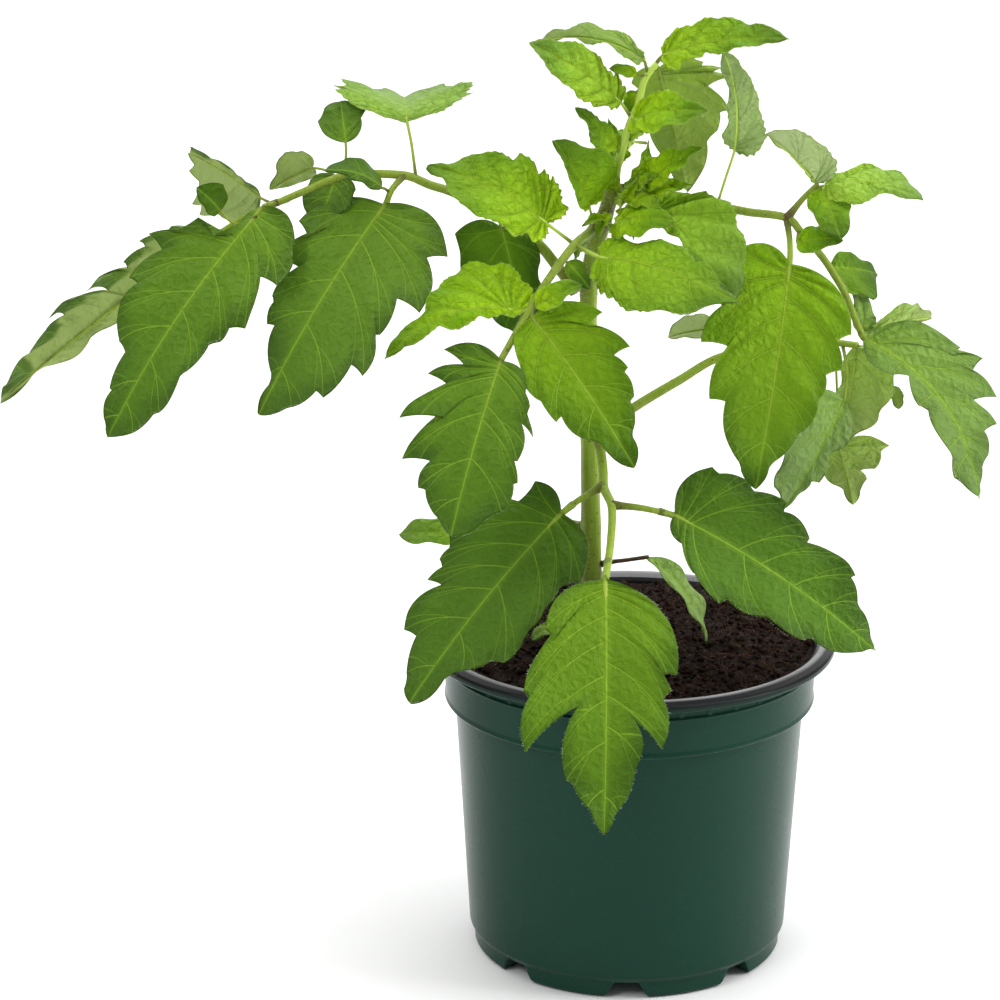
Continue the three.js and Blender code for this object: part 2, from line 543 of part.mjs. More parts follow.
// Leaf 6: the lowest leaf, behind on the left, hidden but for one tip
const leaf6 = {
  stalk: [[-16.1, 2.6, 149], [-19, 7, 148.5], [-31, 18, 147], [-44, 30, 141], [-55, 36, 136]],
  thick: 1.5,
  thin: 1.0,
  leaflets: [
    { from: [[-53, 35, 137]], base: [-55, 36, 136], tip: [-80, 47, 132], face: [-0.1, -0.75, 0.65],
      bow: 6, fold: 5,
      left: [30, 18, 59, 17], right: [34, 20, 59, 18] },
    { from: [[-44, 30, 141]], base: [-40, 33, 141], tip: [-30, 62, 120], face: [0.2, 0.5, 0.8],
      bow: 8, fold: 6,
      left: [20, 26, 28, 22, 46, 28, 52, 20, 74, 16, 80, 10],
      right: [24, 24, 32, 20, 50, 27, 56, 19, 76, 14, 82, 9] },
    { from: [[-44, 30, 141]], base: [-48, 29, 140], tip: [-62, 16, 128], face: [-0.2, -0.4, 0.9],
      bow: 8, fold: 6,
      left: [30, 28, 50, 26], right: [34, 28, 56, 24] },
  ],
};

// Leaf 7: the young leaf that stands up at the top
const leaf7 = {
  stalk: [
    [-6.8, -0.1, 268.5], [-6.2, -0.8, 272.5], [-4.5, -4, 280.5], [-2, -7, 290], [0.5, -7, 296],
    [2.6, -6, 304], [6.5, -5, 309],
  ],
  thick: 1.5,
  thin: 1.0,
  leaflets: [
    { from: [[-2, -7, 292]], base: [-5, -9, 297], tip: [-35, -18, 318], face: [-0.2, -0.75, 0.65],
      bow: 9, fold: 7,
      left: [19, 14, 24, 17, 27, 23, 31, 20, 46, 23, 50, 21, 63, 20, 67, 18, 82, 10, 88, 9],
      right: [5, 13, 10, 10, 19, 20, 19, 12, 32, 16, 37, 16, 47, 20, 53, 20, 74, 15, 82, 11] },
    { from: [[3.5, -6, 306]], base: [2, -4, 311], tip: [-31, 4, 315], face: [0, 0.6, 0.8],
      bow: 12, fold: -10,
      left: [8, 28, 11, 26, 15, 48, 19, 38, 38, 40, 48, 36, 73, 25, 81, 16],
      right: [8, 20, 14, 16, 30, 12, 41, 9, 61, 8, 71, 5] },
    { from: [[6.3, -5, 309]], base: [8, -7, 312], tip: [48, -16, 319], face: [0.1, -0.7, 0.7],
      bow: 9, fold: 8,
      left: [6, 13, 9, 15, 23, 20, 27, 18, 43, 20, 48, 18, 66, 16, 72, 11],
      right: [16, 20, 18, 12, 35, 14, 37, 10, 55, 11, 59, 9, 79, 7, 84, 4] },
    { from: [[-1.5, -7, 291]], base: [-1, -12, 292], tip: [22, -28, 298], face: [0.1, -0.7, 0.72],
      bow: 8, fold: 10,
      left: [8, 25, 14, 24, 30, 30, 37, 25, 66, 16, 80, 9],
      right: [14, 28, 20, 27, 50, 35, 58, 30, 80, 20, 88, 12] },
    { from: [[-4.8, -3, 279]], base: [-6, -6, 281], tip: [-20, -12, 296], face: [0.2, -0.8, 0.55],
      bow: 6, fold: 8,
      left: [36, 22, 44, 13, 66, 15, 76, 9], right: [15, 18, 24, 11, 49, 14, 57, 9] },
    { from: [[6, -5, 308.5]], base: [7, -1, 307], tip: [18, 16, 262], face: [0.2, 0.8, -0.35],
      bow: 6, fold: 5,
      left: [10, 20, 22, 16, 42, 20, 50, 16, 72, 12, 80, 8],
      right: [2, 30, 7, 28, 12, 40, 15, 33, 20, 44, 24, 28, 47, 38, 48, 32, 60, 28, 66, 20] },
    { from: [[3, -6, 305]], base: [0, -7, 306], tip: [-9, -8, 308], face: [0, -0.7, 0.7],
      bow: 5, fold: 5,
      left: [40, 26, 62, 22], right: [40, 26, 62, 22] },
    { from: [[2.2, -6.2, 302]], base: [0, -6, 300], tip: [-3, -5, 293], face: [-0.3, -0.8, 0.4],
      bow: 5, fold: 5,
      left: [40, 42, 62, 34], right: [40, 42, 62, 34] },
  ],
};

// Leaf 8: the young leaf in the middle, whose largest leaflet droops forwards. Small leaflets that are
// still unfolding stand round its stalk.
const leaf8 = {
  stalk: [[-5.6, -1.9, 262.9], [-2, -4.5, 264.5], [1.4, -7, 265], [5.3, -9, 262.5]],
  thick: 1.3,
  thin: 1.0,
  leaflets: [
    { from: [[0, -6, 265]], base: [3, -9, 270], tip: [21, -18, 284], face: [0, -0.75, 0.66],
      bow: 8, fold: 8,
      left: [8, 18, 14, 17, 29, 24, 39, 20, 66, 15, 80, 9],
      right: [11, 18, 19, 17, 42, 18, 51, 13, 75, 9, 85, 5] },
    { from: [[4, -8.5, 263.3]], base: [5.5, -10, 262.5], tip: [30.7, -36, 237], face: [0.3, -0.7, 0.65],
      bow: 9, fold: 8,
      left: [-7, 24, 1, 25, 6, 31, 12, 31, 20, 40, 26, 43, 50, 37, 58, 34, 78, 24, 86, 17],
      right: [32, 10, 44, 12, 56, 10, 66, 9, 83, 7, 89, 4] },
    { from: [[0, -6, 265], [-4, -10, 261]],
      base: [-7, -13, 258], tip: [12, -24, 261], face: [0, -0.6, 0.8],
      bow: 12, fold: -6,
      left: [4, 27, 12, 26, 41, 27, 61, 19], right: [22, 35, 33, 34, 62, 34, 76, 22] },
    { from: [[-0.5, -5.6, 264.8]], base: [-0.5, -7, 265.3], tip: [8.2, -13, 274.6], face: [-0.4, -0.5, 0.8],
      bow: 14, fold: 20,
      left: [12, 18, 20, 14, 45, 24, 54, 17, 78, 12], right: [16, 20, 24, 15, 50, 22, 60, 14, 80, 10] },
    { from: [[1.4, -7, 265]], base: [2.4, -9, 265.1], tip: [18.3, -15, 270.8], face: [0, -0.6, 0.8],
      bow: 12, fold: 18,
      left: [10, 16, 18, 12, 40, 22, 50, 16, 74, 13, 84, 7], right: [14, 18, 24, 14, 46, 20, 56, 13, 80, 9] },
    { from: [[-1, -5.2, 264.7]], base: [-2.6, -10, 263.6], tip: [9.1, -19, 263.4], face: [0, -0.6, 0.8],
      bow: 14, fold: 20,
      left: [14, 20, 24, 15, 48, 24, 58, 16, 78, 11], right: [12, 18, 20, 14, 45, 24, 54, 17, 78, 12] },
    { from: [[-3, -4, 264.2]], base: [-5.1, -8.5, 261.8], tip: [-0.6, -14, 252.6], face: [0.3, -0.8, 0.5],
      bow: 14, fold: 18,
      left: [12, 20, 22, 15, 50, 26, 60, 16, 80, 10], right: [14, 22, 22, 16, 46, 26, 56, 18, 78, 12] },
    { from: [[-2, -4.5, 264.5]], base: [-3.1, -4.6, 268.3], tip: [4.3, -4, 283.4], face: [0.6, -0.8, -0.2],
      bow: 12, fold: 20,
      left: [10, 14, 18, 10, 40, 20, 50, 14, 76, 12, 84, 7], right: [12, 16, 22, 12, 48, 20, 58, 13, 80, 8] },
  ],
};

// The unopened leaves round the growing tip
const tipBud = {
  stalk: [[-7.4, 3.6, 266.5], [-6.4, 5, 270], [-4, 6.5, 275], [-1.5, 7, 281]],
  thick: 1.0,
  thin: 0.7,
  leaflets: [
    { from: [[-1.5, 7, 281]], base: [-1, 7, 282], tip: [5, 6, 292], face: [0.3, -0.8, 0.3],
      bow: 5, fold: 8,
      left: [35, 20, 60, 15], right: [35, 20, 60, 15] },
    { from: [[-5, 6, 273]], base: [-6, 6, 275], tip: [-15, 8, 284], face: [0, -0.8, 0.6],
      bow: 5, fold: 8,
      left: [30, 30, 60, 22], right: [30, 30, 60, 22] },
    { from: [[-3, 6.5, 277]], base: [-3, 8, 278], tip: [-4, 17, 283], face: [0, -0.4, 0.9],
      bow: 5, fold: 8,
      left: [30, 30, 60, 22], right: [30, 30, 60, 22] },
    { from: [[-4, 6.5, 275]], base: [-3.4, 1.2, 276], tip: [-9, 1.6, 290], face: [-0.3, -0.9, 0.3],
      bow: 14, fold: 20,
      left: [12, 18, 20, 14, 45, 24, 54, 17, 78, 12], right: [14, 20, 24, 14, 50, 22, 60, 14, 80, 9] },
    { from: [[-6.7, 4.6, 269.2]], base: [-7, 1.5, 270.6], tip: [-13.4, 1, 275.6], face: [0.2, -0.7, 0.7],
      bow: 12, fold: 18,
      left: [14, 24, 24, 17, 50, 26, 60, 16], right: [16, 22, 26, 16, 52, 24, 64, 14] },
    { from: [[-7.4, 4.2, 266.8]], base: [-10, 4.6, 264.4], tip: [-19.8, 8, 264.4], face: [0.1, -0.6, 0.8],
      bow: 12, fold: 18,
      left: [12, 20, 22, 15, 48, 24, 58, 15, 80, 9], right: [14, 22, 24, 15, 50, 22, 62, 13] },
  ],
};

// The two seed leaves: one withered on its thin dark stalk, one small and green on the peat
const seedLeafDry = {
  stalk: [[-9.9, -1.7, 137.2], [-6, -3, 138.5], [-2, -3, 139], [6, -4, 140.5]],
  thick: 0.7,
  thin: 0.7,
  leaflets: [
    { from: [[4, -3.9, 140.2]], base: [6, -4, 140.5], tip: [25.5, -13.8, 113.5], face: [0.75, -0.5, 0.5],
      bow: 12, fold: 16,
      left: [30, 14, 60, 13, 80, 7, 90, 4], right: [25, 16, 45, 17, 70, 10, 82, 5] },
  ],
};

const seedLeafGreen = {
  stalk: [[-16.4, -1.9, 122], [-19, -3, 121], [-23, -4.5, 119], [-26, -6, 116.5]],
  thick: 0.7,
  thin: 0.7,
  leaflets: [
    { from: [[-25, -5.6, 117.2]], base: [-26, -6, 116.5], tip: [-33.5, -13, 113.8], face: [-0.2, -0.5, 0.85],
      bow: 8, fold: 5,
      left: [35, 30, 65, 24], right: [35, 30, 65, 24] },
  ],
};

// Assembly
const plant = new Group();
plant.name = "tomato_plant_in_pot";

function addNode(name, solid, color, roughness) {
  const mesh = new Mesh(toGeometry(solid), new MeshStandardMaterial({ color, roughness, metalness: 0 }));
  mesh.name = name;
  plant.add(mesh);
}

const YOUNG_GREEN = 0x86b023;
const LEAF_GREEN = 0x4f8420;
const STEM_GREEN = 0x7f8f3c;

addNode("pot", pot(), 0x1f3b30, 0.35);
addNode("soil", soil(STEM_PATH), 0x1d1411, 0.95);
addNode("stem", stalk(STEM_PATH, STEM_RADIUS, STEM_TOP_RADIUS, 10), STEM_GREEN, 0.6);
const leaves = { leaf_1: leaf1, leaf_2: leaf2, leaf_3: leaf3, leaf_4: leaf4, leaf_5: leaf5, leaf_6: leaf6 };
for (const [name, leaf] of Object.entries(leaves)) {
  addNode(name, leafSolid(leaf), LEAF_GREEN, 0.55);
}
addNode("leaf_7", leafSolid(leaf7), YOUNG_GREEN, 0.55);
addNode("leaf_8", leafSolid(leaf8), YOUNG_GREEN, 0.55);
addNode("tip_bud", leafSolid(tipBud), YOUNG_GREEN, 0.55);
addNode("seed_leaf_dry", leafSolid(seedLeafDry), 0x7c8a58, 0.7);
addNode("seed_leaf_green", leafSolid(seedLeafGreen), 0x7d9a3a, 0.6);

export default plant;
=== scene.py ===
# A young tomato plant in a round nursery pot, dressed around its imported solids.
# Sizes in the tables are millimetres, as in the part's source; every mesh is made in metres.
import math

import bpy
import numpy as np
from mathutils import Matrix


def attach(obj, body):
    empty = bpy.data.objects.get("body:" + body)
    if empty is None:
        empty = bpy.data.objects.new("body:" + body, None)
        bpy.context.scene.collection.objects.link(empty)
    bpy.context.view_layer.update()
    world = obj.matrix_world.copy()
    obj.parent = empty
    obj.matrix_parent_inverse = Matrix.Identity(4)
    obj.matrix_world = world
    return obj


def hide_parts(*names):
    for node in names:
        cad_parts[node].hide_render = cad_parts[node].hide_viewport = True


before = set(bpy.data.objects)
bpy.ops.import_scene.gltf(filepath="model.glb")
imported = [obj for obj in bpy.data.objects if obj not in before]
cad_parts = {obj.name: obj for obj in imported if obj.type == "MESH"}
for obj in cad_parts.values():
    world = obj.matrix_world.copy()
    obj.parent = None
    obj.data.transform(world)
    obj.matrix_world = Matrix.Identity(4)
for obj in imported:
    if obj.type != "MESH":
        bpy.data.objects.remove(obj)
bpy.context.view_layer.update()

# The studio: a pale floor that runs on to the horizon, a dim surround, a wide soft light overhead, a
# key light on the right, a weak one above on the left and a low panel behind, for the rims of leaves.
FLOOR_REACH = 6.0


def colour(red, green, blue):
    """A colour of the shader's linear kind, with full cover."""
    return (red, green, blue, 1.0)


class Finish:
    """A material in the making, with even values set on its shader's own sockets. fill links an input that
    is another node's output, and sets any other value on the socket. node adds a node and gives all its
    outputs, the calls named after a node give the one in use, and done ends on the shader."""

    def __init__(self, name, even):
        self.material = bpy.data.materials.new(name)
        self.material.use_nodes = True
        self.tree = self.material.node_tree
        self.shader = self.tree.nodes["Principled BSDF"]
        self.fill(self.shader, even)

    def fill(self, made, inputs):
        for key, value in inputs.items():
            if isinstance(value, bpy.types.NodeSocket):
                self.tree.links.new(value, made.inputs[key])
            else:
                made.inputs[key].default_value = value

    def node(self, kind, inputs, **settings):
        made = self.tree.nodes.new("ShaderNode" + kind)
        for setting, value in settings.items():
            setattr(made, setting, value)
        self.fill(made, inputs)
        return made.outputs

    def place(self):
        return self.node("TexCoord", {})["Object"]

    def mark(self, name):
        return self.node("Attribute", {}, attribute_name=name)

    def noise(self, where, scale, detail):
        return self.node("TexNoise", {"Vector": where, "Scale": scale, "Detail": detail})["Fac"]

    def ramp(self, value, low, high, start=0.0, end=1.0, curve="LINEAR"):
        return self.node("MapRange", {"Value": value, "From Min": low, "From Max": high,
                                      "To Min": start, "To Max": end}, interpolation_type=curve)["Result"]

    def reckon(self, how, first, second, clamp=False):
        return self.node("Math", {0: first, 1: second}, operation=how, use_clamp=clamp)[0]

    def blend(self, share, first, second):
        return self.node("Mix", {"Factor": share, "A": first, "B": second}, data_type="RGBA")[2]

    def bump(self, height, strength, depth):
        return self.node("Bump", {"Height": height, "Strength": strength, "Distance": depth})["Normal"]

    def done(self, inputs):
        self.fill(self.shader, inputs)
        return self.material


floor_mesh = bpy.data.meshes.new("floor")
floor_corners = [(x * FLOOR_REACH, y * FLOOR_REACH, 0) for x, y in ((-1, -1), (1, -1), (1, 1), (-1, 1))]
floor_mesh.from_pydata(floor_corners, [], [(0, 1, 2, 3)])
floor = bpy.data.objects.new("floor", floor_mesh)
bpy.context.collection.objects.link(floor)
pale_floor = Finish("pale_floor", {"Base Color": colour(0.86, 0.86, 0.86), "Roughness": 0.9})
floor_mesh.materials.append(pale_floor.material)

world = bpy.data.worlds.new("surround")
world.use_nodes = True
world.node_tree.nodes["Background"].inputs["Color"].default_value = colour(1.0, 1.0, 1.0)
world.node_tree.nodes["Background"].inputs["Strength"].default_value = 0.34
bpy.context.scene.world = world


def soft_light(name, place, aim, size, power):
    """A rectangular light at place, turned towards aim; places and sizes are in metres."""
    data = bpy.data.lights.new(name, "AREA")
    data.shape = "RECTANGLE"
    data.size, data.size_y = size
    data.energy = power
    light = bpy.data.objects.new(name, data)
    bpy.context.collection.objects.link(light)
    from_aim = np.array(place) - np.array(aim)
    light.location = place
    turn = math.atan2(from_aim[0], -from_aim[1])
    tilt = math.atan2(math.hypot(from_aim[0], from_aim[1]), from_aim[2])
    light.rotation_euler = (tilt, 0, turn)


soft_light("wide_overhead", (0, 1.2, 2.6), (0, 1.2, 0), (5.0, 5.0), 150)
soft_light("key_right", (1.25, -0.15, 0.75), (0, 0, 0.12), (0.7, 0.9), 15)
soft_light("fill_above_left", (-0.9, -1.0, 1.3), (-0.02, 0, 0.2), (0.6, 0.6), 8)
soft_light("low_panel_behind", (0, 1.5, 0.60), (0, 0, 0.15), (2.2, 0.6), 5)

# The camera: a long lens 1.2 m away, looking down on the plant at 17.4 degrees.
MM = 0.001
CAMERA_AIM = np.array([-44.3, 0, 159.4])
CAMERA_DISTANCE = 1200.0
CAMERA_DOWN = math.radians(17.4)
camera_data = bpy.data.cameras.new("camera")
camera_data.sensor_width = 36.0
camera_data.lens = 128.0
camera_data.clip_start, camera_data.clip_end = 0.05, 50.0
camera = bpy.data.objects.new("camera", camera_data)
camera_back = np.array([0.0, -math.cos(CAMERA_DOWN), math.sin(CAMERA_DOWN)])
camera.location = (CAMERA_AIM + CAMERA_DISTANCE * camera_back) * MM
camera.rotation_euler = (math.pi / 2 - CAMERA_DOWN, 0, 0)
bpy.context.collection.objects.link(camera)
bpy.context.scene.camera = camera
bpy.context.scene.view_settings.view_transform = "Standard"

# The pot: an injection-moulded shell of dark green polypropylene with a black lining, which shows inside
# and over the flat lip. A stepped band under the lip stops stacked pots from sticking, small gussets
# stiffen the lip, and eight channels under the floor let the water out.
POT_HEIGHT = 112.0
RIM_RADIUS = 70.0
BAND_RADIUS = 63.2
WALL_TOP_RADIUS = 59.6
WALL_FOOT_RADIUS = 54.8
FOOT_RADIUS = 53.1
FOOT_HEIGHT = 6.6
BAND_BOTTOM = 90.5
SHELL = 1.3
LIP_DROP = 4.2
CHANNEL_COUNT = 8
CHANNEL_TURN = math.radians(-2)
CHANNEL_FOOT_WIDTH = 15.0
CHANNEL_TOP_WIDTH = 8.0
CHANNEL_HEIGHT = 6.0
CHANNEL_INNER_RADIUS = 26.0
CHANNEL_END_SLOPE = 0.8
GUSSET_COUNT = 40
GUSSET_DROP = 3.6
GUSSET_NARROWING = 14
LINING_FROM = POT_HEIGHT - LIP_DROP
LINED_ABOVE = 9.0
LIP_SPLIT_HEIGHT, LIP_SPLIT_RADIUS = LINING_FROM + 0.6, RIM_RADIUS - 2.5
GREEN_FADED = POT_HEIGHT - 1.2
# The lip's painted highlight lies above this height and within this distance of the axis, and fades out by
# the next.
HIGHLIGHT_ABOVE = POT_HEIGHT - 1.5
HIGHLIGHT_WITHIN, HIGHLIGHT_FADED_FROM = RIM_RADIUS - 3.3, RIM_RADIUS - 2.3
POT_TURNS = 480
POT_GREENS = colour(0.009, 0.041, 0.026), colour(0.011, 0.047, 0.031)
LINING_BLACK = colour(0.012, 0.012, 0.014)
# The pale grey of the lip's painted highlight.
PAINTED_HIGHLIGHT_GREY = colour(0.16, 0.16, 0.17)


def add_piece(name, points, faces, material, slot, nodes, marks=None, flat_map=None):
    """One piece of the plant: points in millimetres and four corners a face. A face with a corner given
    twice becomes a triangle, one with fewer corners is left out. marks are named attributes with one or
    three numbers a point, flat_map is a UV place for each point."""
    kept = faces != np.roll(faces, 1, axis=1)
    whole = kept.sum(axis=1) >= 3
    faces, kept = faces[whole], kept[whole]
    corners = faces[kept]
    starts = np.concatenate([[0], np.cumsum(kept.sum(axis=1))[:-1]])
    mesh = bpy.data.meshes.new(name)
    mesh.vertices.add(len(points))
    mesh.vertices.foreach_set("co", (points * MM).astype(np.float32).ravel())
    mesh.loops.add(len(corners))
    mesh.loops.foreach_set("vertex_index", corners.astype(np.int32))
    mesh.polygons.add(len(starts))
    mesh.polygons.foreach_set("loop_start", starts.astype(np.int32))
    mesh.polygons.foreach_set("use_smooth", np.ones(len(starts), bool))
    for mark, values in (marks or {}).items():
        kind, key = ("FLOAT_VECTOR", "vector") if values.ndim == 2 else ("FLOAT", "value")
        attribute = mesh.attributes.new(mark, kind, "POINT")
        attribute.data.foreach_set(key, values.astype(np.float32).ravel())
    if flat_map is not None:
        layer = mesh.uv_layers.new(name="blade")
        layer.data.foreach_set("uv", flat_map[corners].astype(np.float32).ravel())
    mesh.update(calc_edges=True)
    mesh.validate()
    mesh.materials.append(material)
    piece = bpy.data.objects.new(name, mesh)
    bpy.context.collection.objects.link(piece)
    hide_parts(*nodes)
    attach(piece, "root")


def rounded(corners, reach, steps=4):
    """The profile with each inner corner turned into a short parabola that starts and ends at most
    reach from the corner, and no further than halfway to the next corner. Points on a straight stay."""
    line = [np.array(corners[0], float)]
    for before, corner, after in zip(corners, corners[1:], corners[2:]):
        before, corner, after = (np.array(c, float) for c in (before, corner, after))
        back, on = before - corner, after - corner
        if abs(back[0] * on[1] - back[1] * on[0]) < 1e-6:
            line.append(corner)
            continue
        start = corner + back * min(0.5, reach / np.linalg.norm(back))
        end = corner + on * min(0.5, reach / np.linalg.norm(on))
        for step in np.linspace(0, 1, steps):
            line.append((1 - step) ** 2 * start + 2 * step * (1 - step) * corner + step**2 * end)
    line.append(np.array(corners[-1], float))
    return np.array(line)


def grid_faces(rows, columns, closed):
    """Four corners for each cell of a grid of rows by columns points; closed joins the last column to the
    first."""
    across = np.arange(columns if closed else columns - 1)
    row, column = np.meshgrid(np.arange(rows - 1), across, indexing="ij")
    following = (column + 1) % columns
    cells = [row * columns + column, row * columns + following, (row + 1) * columns + following,
             (row + 1) * columns + column]
    return np.stack(cells, axis=-1).reshape(-1, 4)


def channel_height(x, y, spread):
    """How far a channel lifts the pot's floor at x, y: full height within half the top width of a
    channel's middle line, nothing past half its foot width, a straight slope between."""
    lift = np.zeros_like(x)
    for index in range(CHANNEL_COUNT):
        turn = CHANNEL_TURN - math.pi / 2 + 2 * math.pi * index / CHANNEL_COUNT
        along = x * math.cos(turn) + y * math.sin(turn)
        across = np.abs(y * math.cos(turn) - x * math.sin(turn)) - spread
        slope = (CHANNEL_FOOT_WIDTH / 2 - across) / ((CHANNEL_FOOT_WIDTH - CHANNEL_TOP_WIDTH) / 2)
        reach = (along - CHANNEL_INNER_RADIUS + spread + CHANNEL_END_SLOPE) / CHANNEL_END_SLOPE
        lift = np.maximum(lift, CHANNEL_HEIGHT * np.clip(slope, 0, 1) * np.clip(reach, 0, 1))
    return lift


def pot_surface():
    """The profile turned about the pot's axis. Outside, a point under a channel's roof is lifted to the
    roof; inside, the floor is lifted by the same channel and one wall more. Gussets push the band's top
    out by a narrow pulse."""
    under, top, rim, band, foot = LINING_FROM, POT_HEIGHT, RIM_RADIUS, BAND_RADIUS, FOOT_RADIUS
    outside = [
        (0, 0), (12, 0), (24, 0), (30, 0), (36, 0), (42, 0), (48, 0), (foot - 1.2, 0), (foot, 1.2),
        (foot, 2.4), (foot + 0.1, FOOT_HEIGHT - 0.6), (WALL_FOOT_RADIUS, FOOT_HEIGHT + 1.4),
        (WALL_TOP_RADIUS, BAND_BOTTOM - 1.6), (band - 0.6, BAND_BOTTOM - 0.4),
        (band + 0.1, BAND_BOTTOM + 0.3), (band + 0.1, BAND_BOTTOM + 0.9), (band - 0.2, BAND_BOTTOM + 1.8),
        (band + 0.1, under - 4.6), (band + 0.5, under - 4.3), (band + 0.4, under - 3.9),
        (band - 0.3, under - 3.5), (band, under + 0.1),
        (rim - 0.6, under + 0.4), (rim, under + 1.0), (rim, top - 1.7), (rim - 0.6, top - 1.1),
        (rim - 3.0, top - 0.1), (rim - 4.2, top),
    ]
    lined = band - SHELL
    inside = [
        (lined + 3.2, top - 0.3), (lined + 0.8, top - 2.6), (lined - 0.2, BAND_BOTTOM + 1.6),
        (WALL_TOP_RADIUS - SHELL, BAND_BOTTOM - 1), (WALL_FOOT_RADIUS - SHELL + 0.1, FOOT_HEIGHT + 2),
        (foot - 2.4, SHELL + 0.6), (foot - 3.4, SHELL), (40, SHELL), (26, SHELL), (12, SHELL), (0, SHELL),
    ]
    line = rounded(outside + inside, 0.4)
    inner = np.arange(len(line))[:, None] > int(np.argmax(line[:, 1]))
    angle = np.linspace(0, 2 * math.pi, POT_TURNS, endpoint=False)
    radius = np.repeat(line[:, :1], POT_TURNS, axis=1)
    height = np.repeat(line[:, 1:], POT_TURNS, axis=1)
    pulse = np.clip(1 - np.abs((angle * GUSSET_COUNT / (2 * math.pi)) % 1 - 0.5) * GUSSET_NARROWING, 0, 1)
    up = height - under + GUSSET_DROP
    in_gusset = (height > under - GUSSET_DROP) & (height < under + 0.3) & ~inner
    radius = radius + np.where(in_gusset, pulse * (0.7 + 0.5 * up), 0)
    x, y = radius * np.cos(angle), radius * np.sin(angle)
    roof = np.where(inner, SHELL + channel_height(x, y, SHELL), channel_height(x, y, 0.0))
    height = np.where(height < roof, roof, height)
    return np.stack([x, y, height], axis=-1).reshape(-1, 3), grid_faces(len(line), POT_TURNS, closed=True)


def pot_plastic():
    """Green outside and black inside: the split follows height and distance from the axis, and up the
    lip's edge the green fades out. Where the lip turns down to the peat, a pale grey ring is painted on
    the black as a highlight, and the plastic is glossier there. A slow unevenness of colour and gloss
    comes from two noises."""
    finish = Finish("pot_plastic", {})
    place = finish.place()
    height = finish.node("SeparateXYZ", {"Vector": place})["Z"]
    radial = finish.node("VectorMath", {0: place, 1: (1.0, 1.0, 0.0)}, operation="MULTIPLY")[0]
    distance = finish.node("VectorMath", {0: radial}, operation="LENGTH")["Value"]

    def past(level):
        return finish.reckon("GREATER_THAN", height, level * MM)

    def step(level, below, above):
        return finish.node("Mix", {"Factor": past(level), "A": below, "B": above * MM})[0]

    middle = finish.ramp(height, 0.0, BAND_BOTTOM * MM,
                         (WALL_FOOT_RADIUS - SHELL / 2) * MM, (WALL_TOP_RADIUS - SHELL / 2) * MM)
    middle = step(BAND_BOTTOM, middle, BAND_RADIUS - SHELL / 2)
    middle = step(LIP_SPLIT_HEIGHT, middle, LIP_SPLIT_RADIUS)
    inside = finish.reckon("MULTIPLY", finish.reckon("LESS_THAN", distance, middle), past(LINED_ABOVE))
    lining = finish.reckon("MAXIMUM", inside, finish.ramp(height, LINING_FROM * MM, GREEN_FADED * MM))
    shade = finish.blend(lining, finish.blend(finish.noise(place, 14.0, 2.0), *POT_GREENS), LINING_BLACK)
    # A painted highlight: a pale grey ring on the black where the lip turns down to the peat, made glossier
    # too.
    highlight_ring = finish.ramp(distance, HIGHLIGHT_WITHIN * MM, HIGHLIGHT_FADED_FROM * MM, 1.0, 0.0)
    painted_highlight = finish.reckon("MULTIPLY", past(HIGHLIGHT_ABOVE), highlight_ring)
    return finish.done({
        "Base Color": finish.blend(painted_highlight, shade, PAINTED_HIGHLIGHT_GREY),
        "Roughness": finish.ramp(finish.noise(place, 60.0, 3.0), 0.0, 1.0, 0.25, 0.30),
        "Specular IOR Level": finish.ramp(painted_highlight, 0.0, 1.0, 0.09, 0.45)})


add_piece("pot_shell", *pot_surface(), pot_plastic(), "pot", ["pot"])

# The potting soil: dark moist peat with reddish fibres, filled to just below the lip. It was tipped in
# loose, so its top is lumpy, with crumbs and short strands lying on it.
SOIL_TOP = 109.0
SOIL_MOUND = 1.4
SOIL_ROUGHNESS = 0.6
SOIL_EDGE = BAND_RADIUS - SHELL + 0.7
SOIL_RINGS = 90
SOIL_TURNS = 360
SOIL_UNDERSIDE = 88.0
CRUMB_COUNT = 6500
LEAST_CRUMB, CRUMB_RANGE = 0.22, 1.15
STRAND_COUNT = 420
STRAND_LENGTHS = 2, 7
STRAND_RADII = 0.1, 0.24


def lattice_noise(x, y, pitch, seed):
    """Random heights between -1 and 1 on a square lattice of the given pitch, blended between lattice
    points by the smooth curve 3t^2 - 2t^3 along each way."""
    heights = np.random.default_rng(seed).uniform(-1, 1, (64, 64))
    column, row = x / pitch + 1000, y / pitch + 1000
    left, low = np.floor(column).astype(int), np.floor(row).astype(int)
    across, up = column - left, row - low
    across, up = across * across * (3 - 2 * across), up * up * (3 - 2 * up)
    left, right, low, high = left % 64, (left + 1) % 64, low % 64, (low + 1) % 64
    below = heights[left, low] * (1 - across) + heights[right, low] * across
    above = heights[left, high] * (1 - across) + heights[right, high] * across
    return below * (1 - up) + above * up


def soil_height(x, y):
    """The peat's top: a low mound, the source's broad waves, and lumps of about 9, 4, 2 and 1 mm."""
    broad = np.sin(0.21 * x + 1.3) * np.cos(0.17 * y - 0.6)
    small = np.sin(0.55 * x - 0.38 * y) + np.sin(0.31 * x + 0.64 * y + 2)
    mound = SOIL_TOP + SOIL_MOUND * (1 - (x**2 + y**2) / SOIL_EDGE**2)
    level = mound + SOIL_ROUGHNESS * (broad + 0.5 * small) - 0.1
    lumps = 0.9 * lattice_noise(x, y, 9.0, 11) + 0.9 * np.abs(lattice_noise(x, y, 4.2, 12))
    return level + lumps + 0.55 * lattice_noise(x, y, 2.0, 13) + 0.3 * lattice_noise(x, y, 1.0, 14)


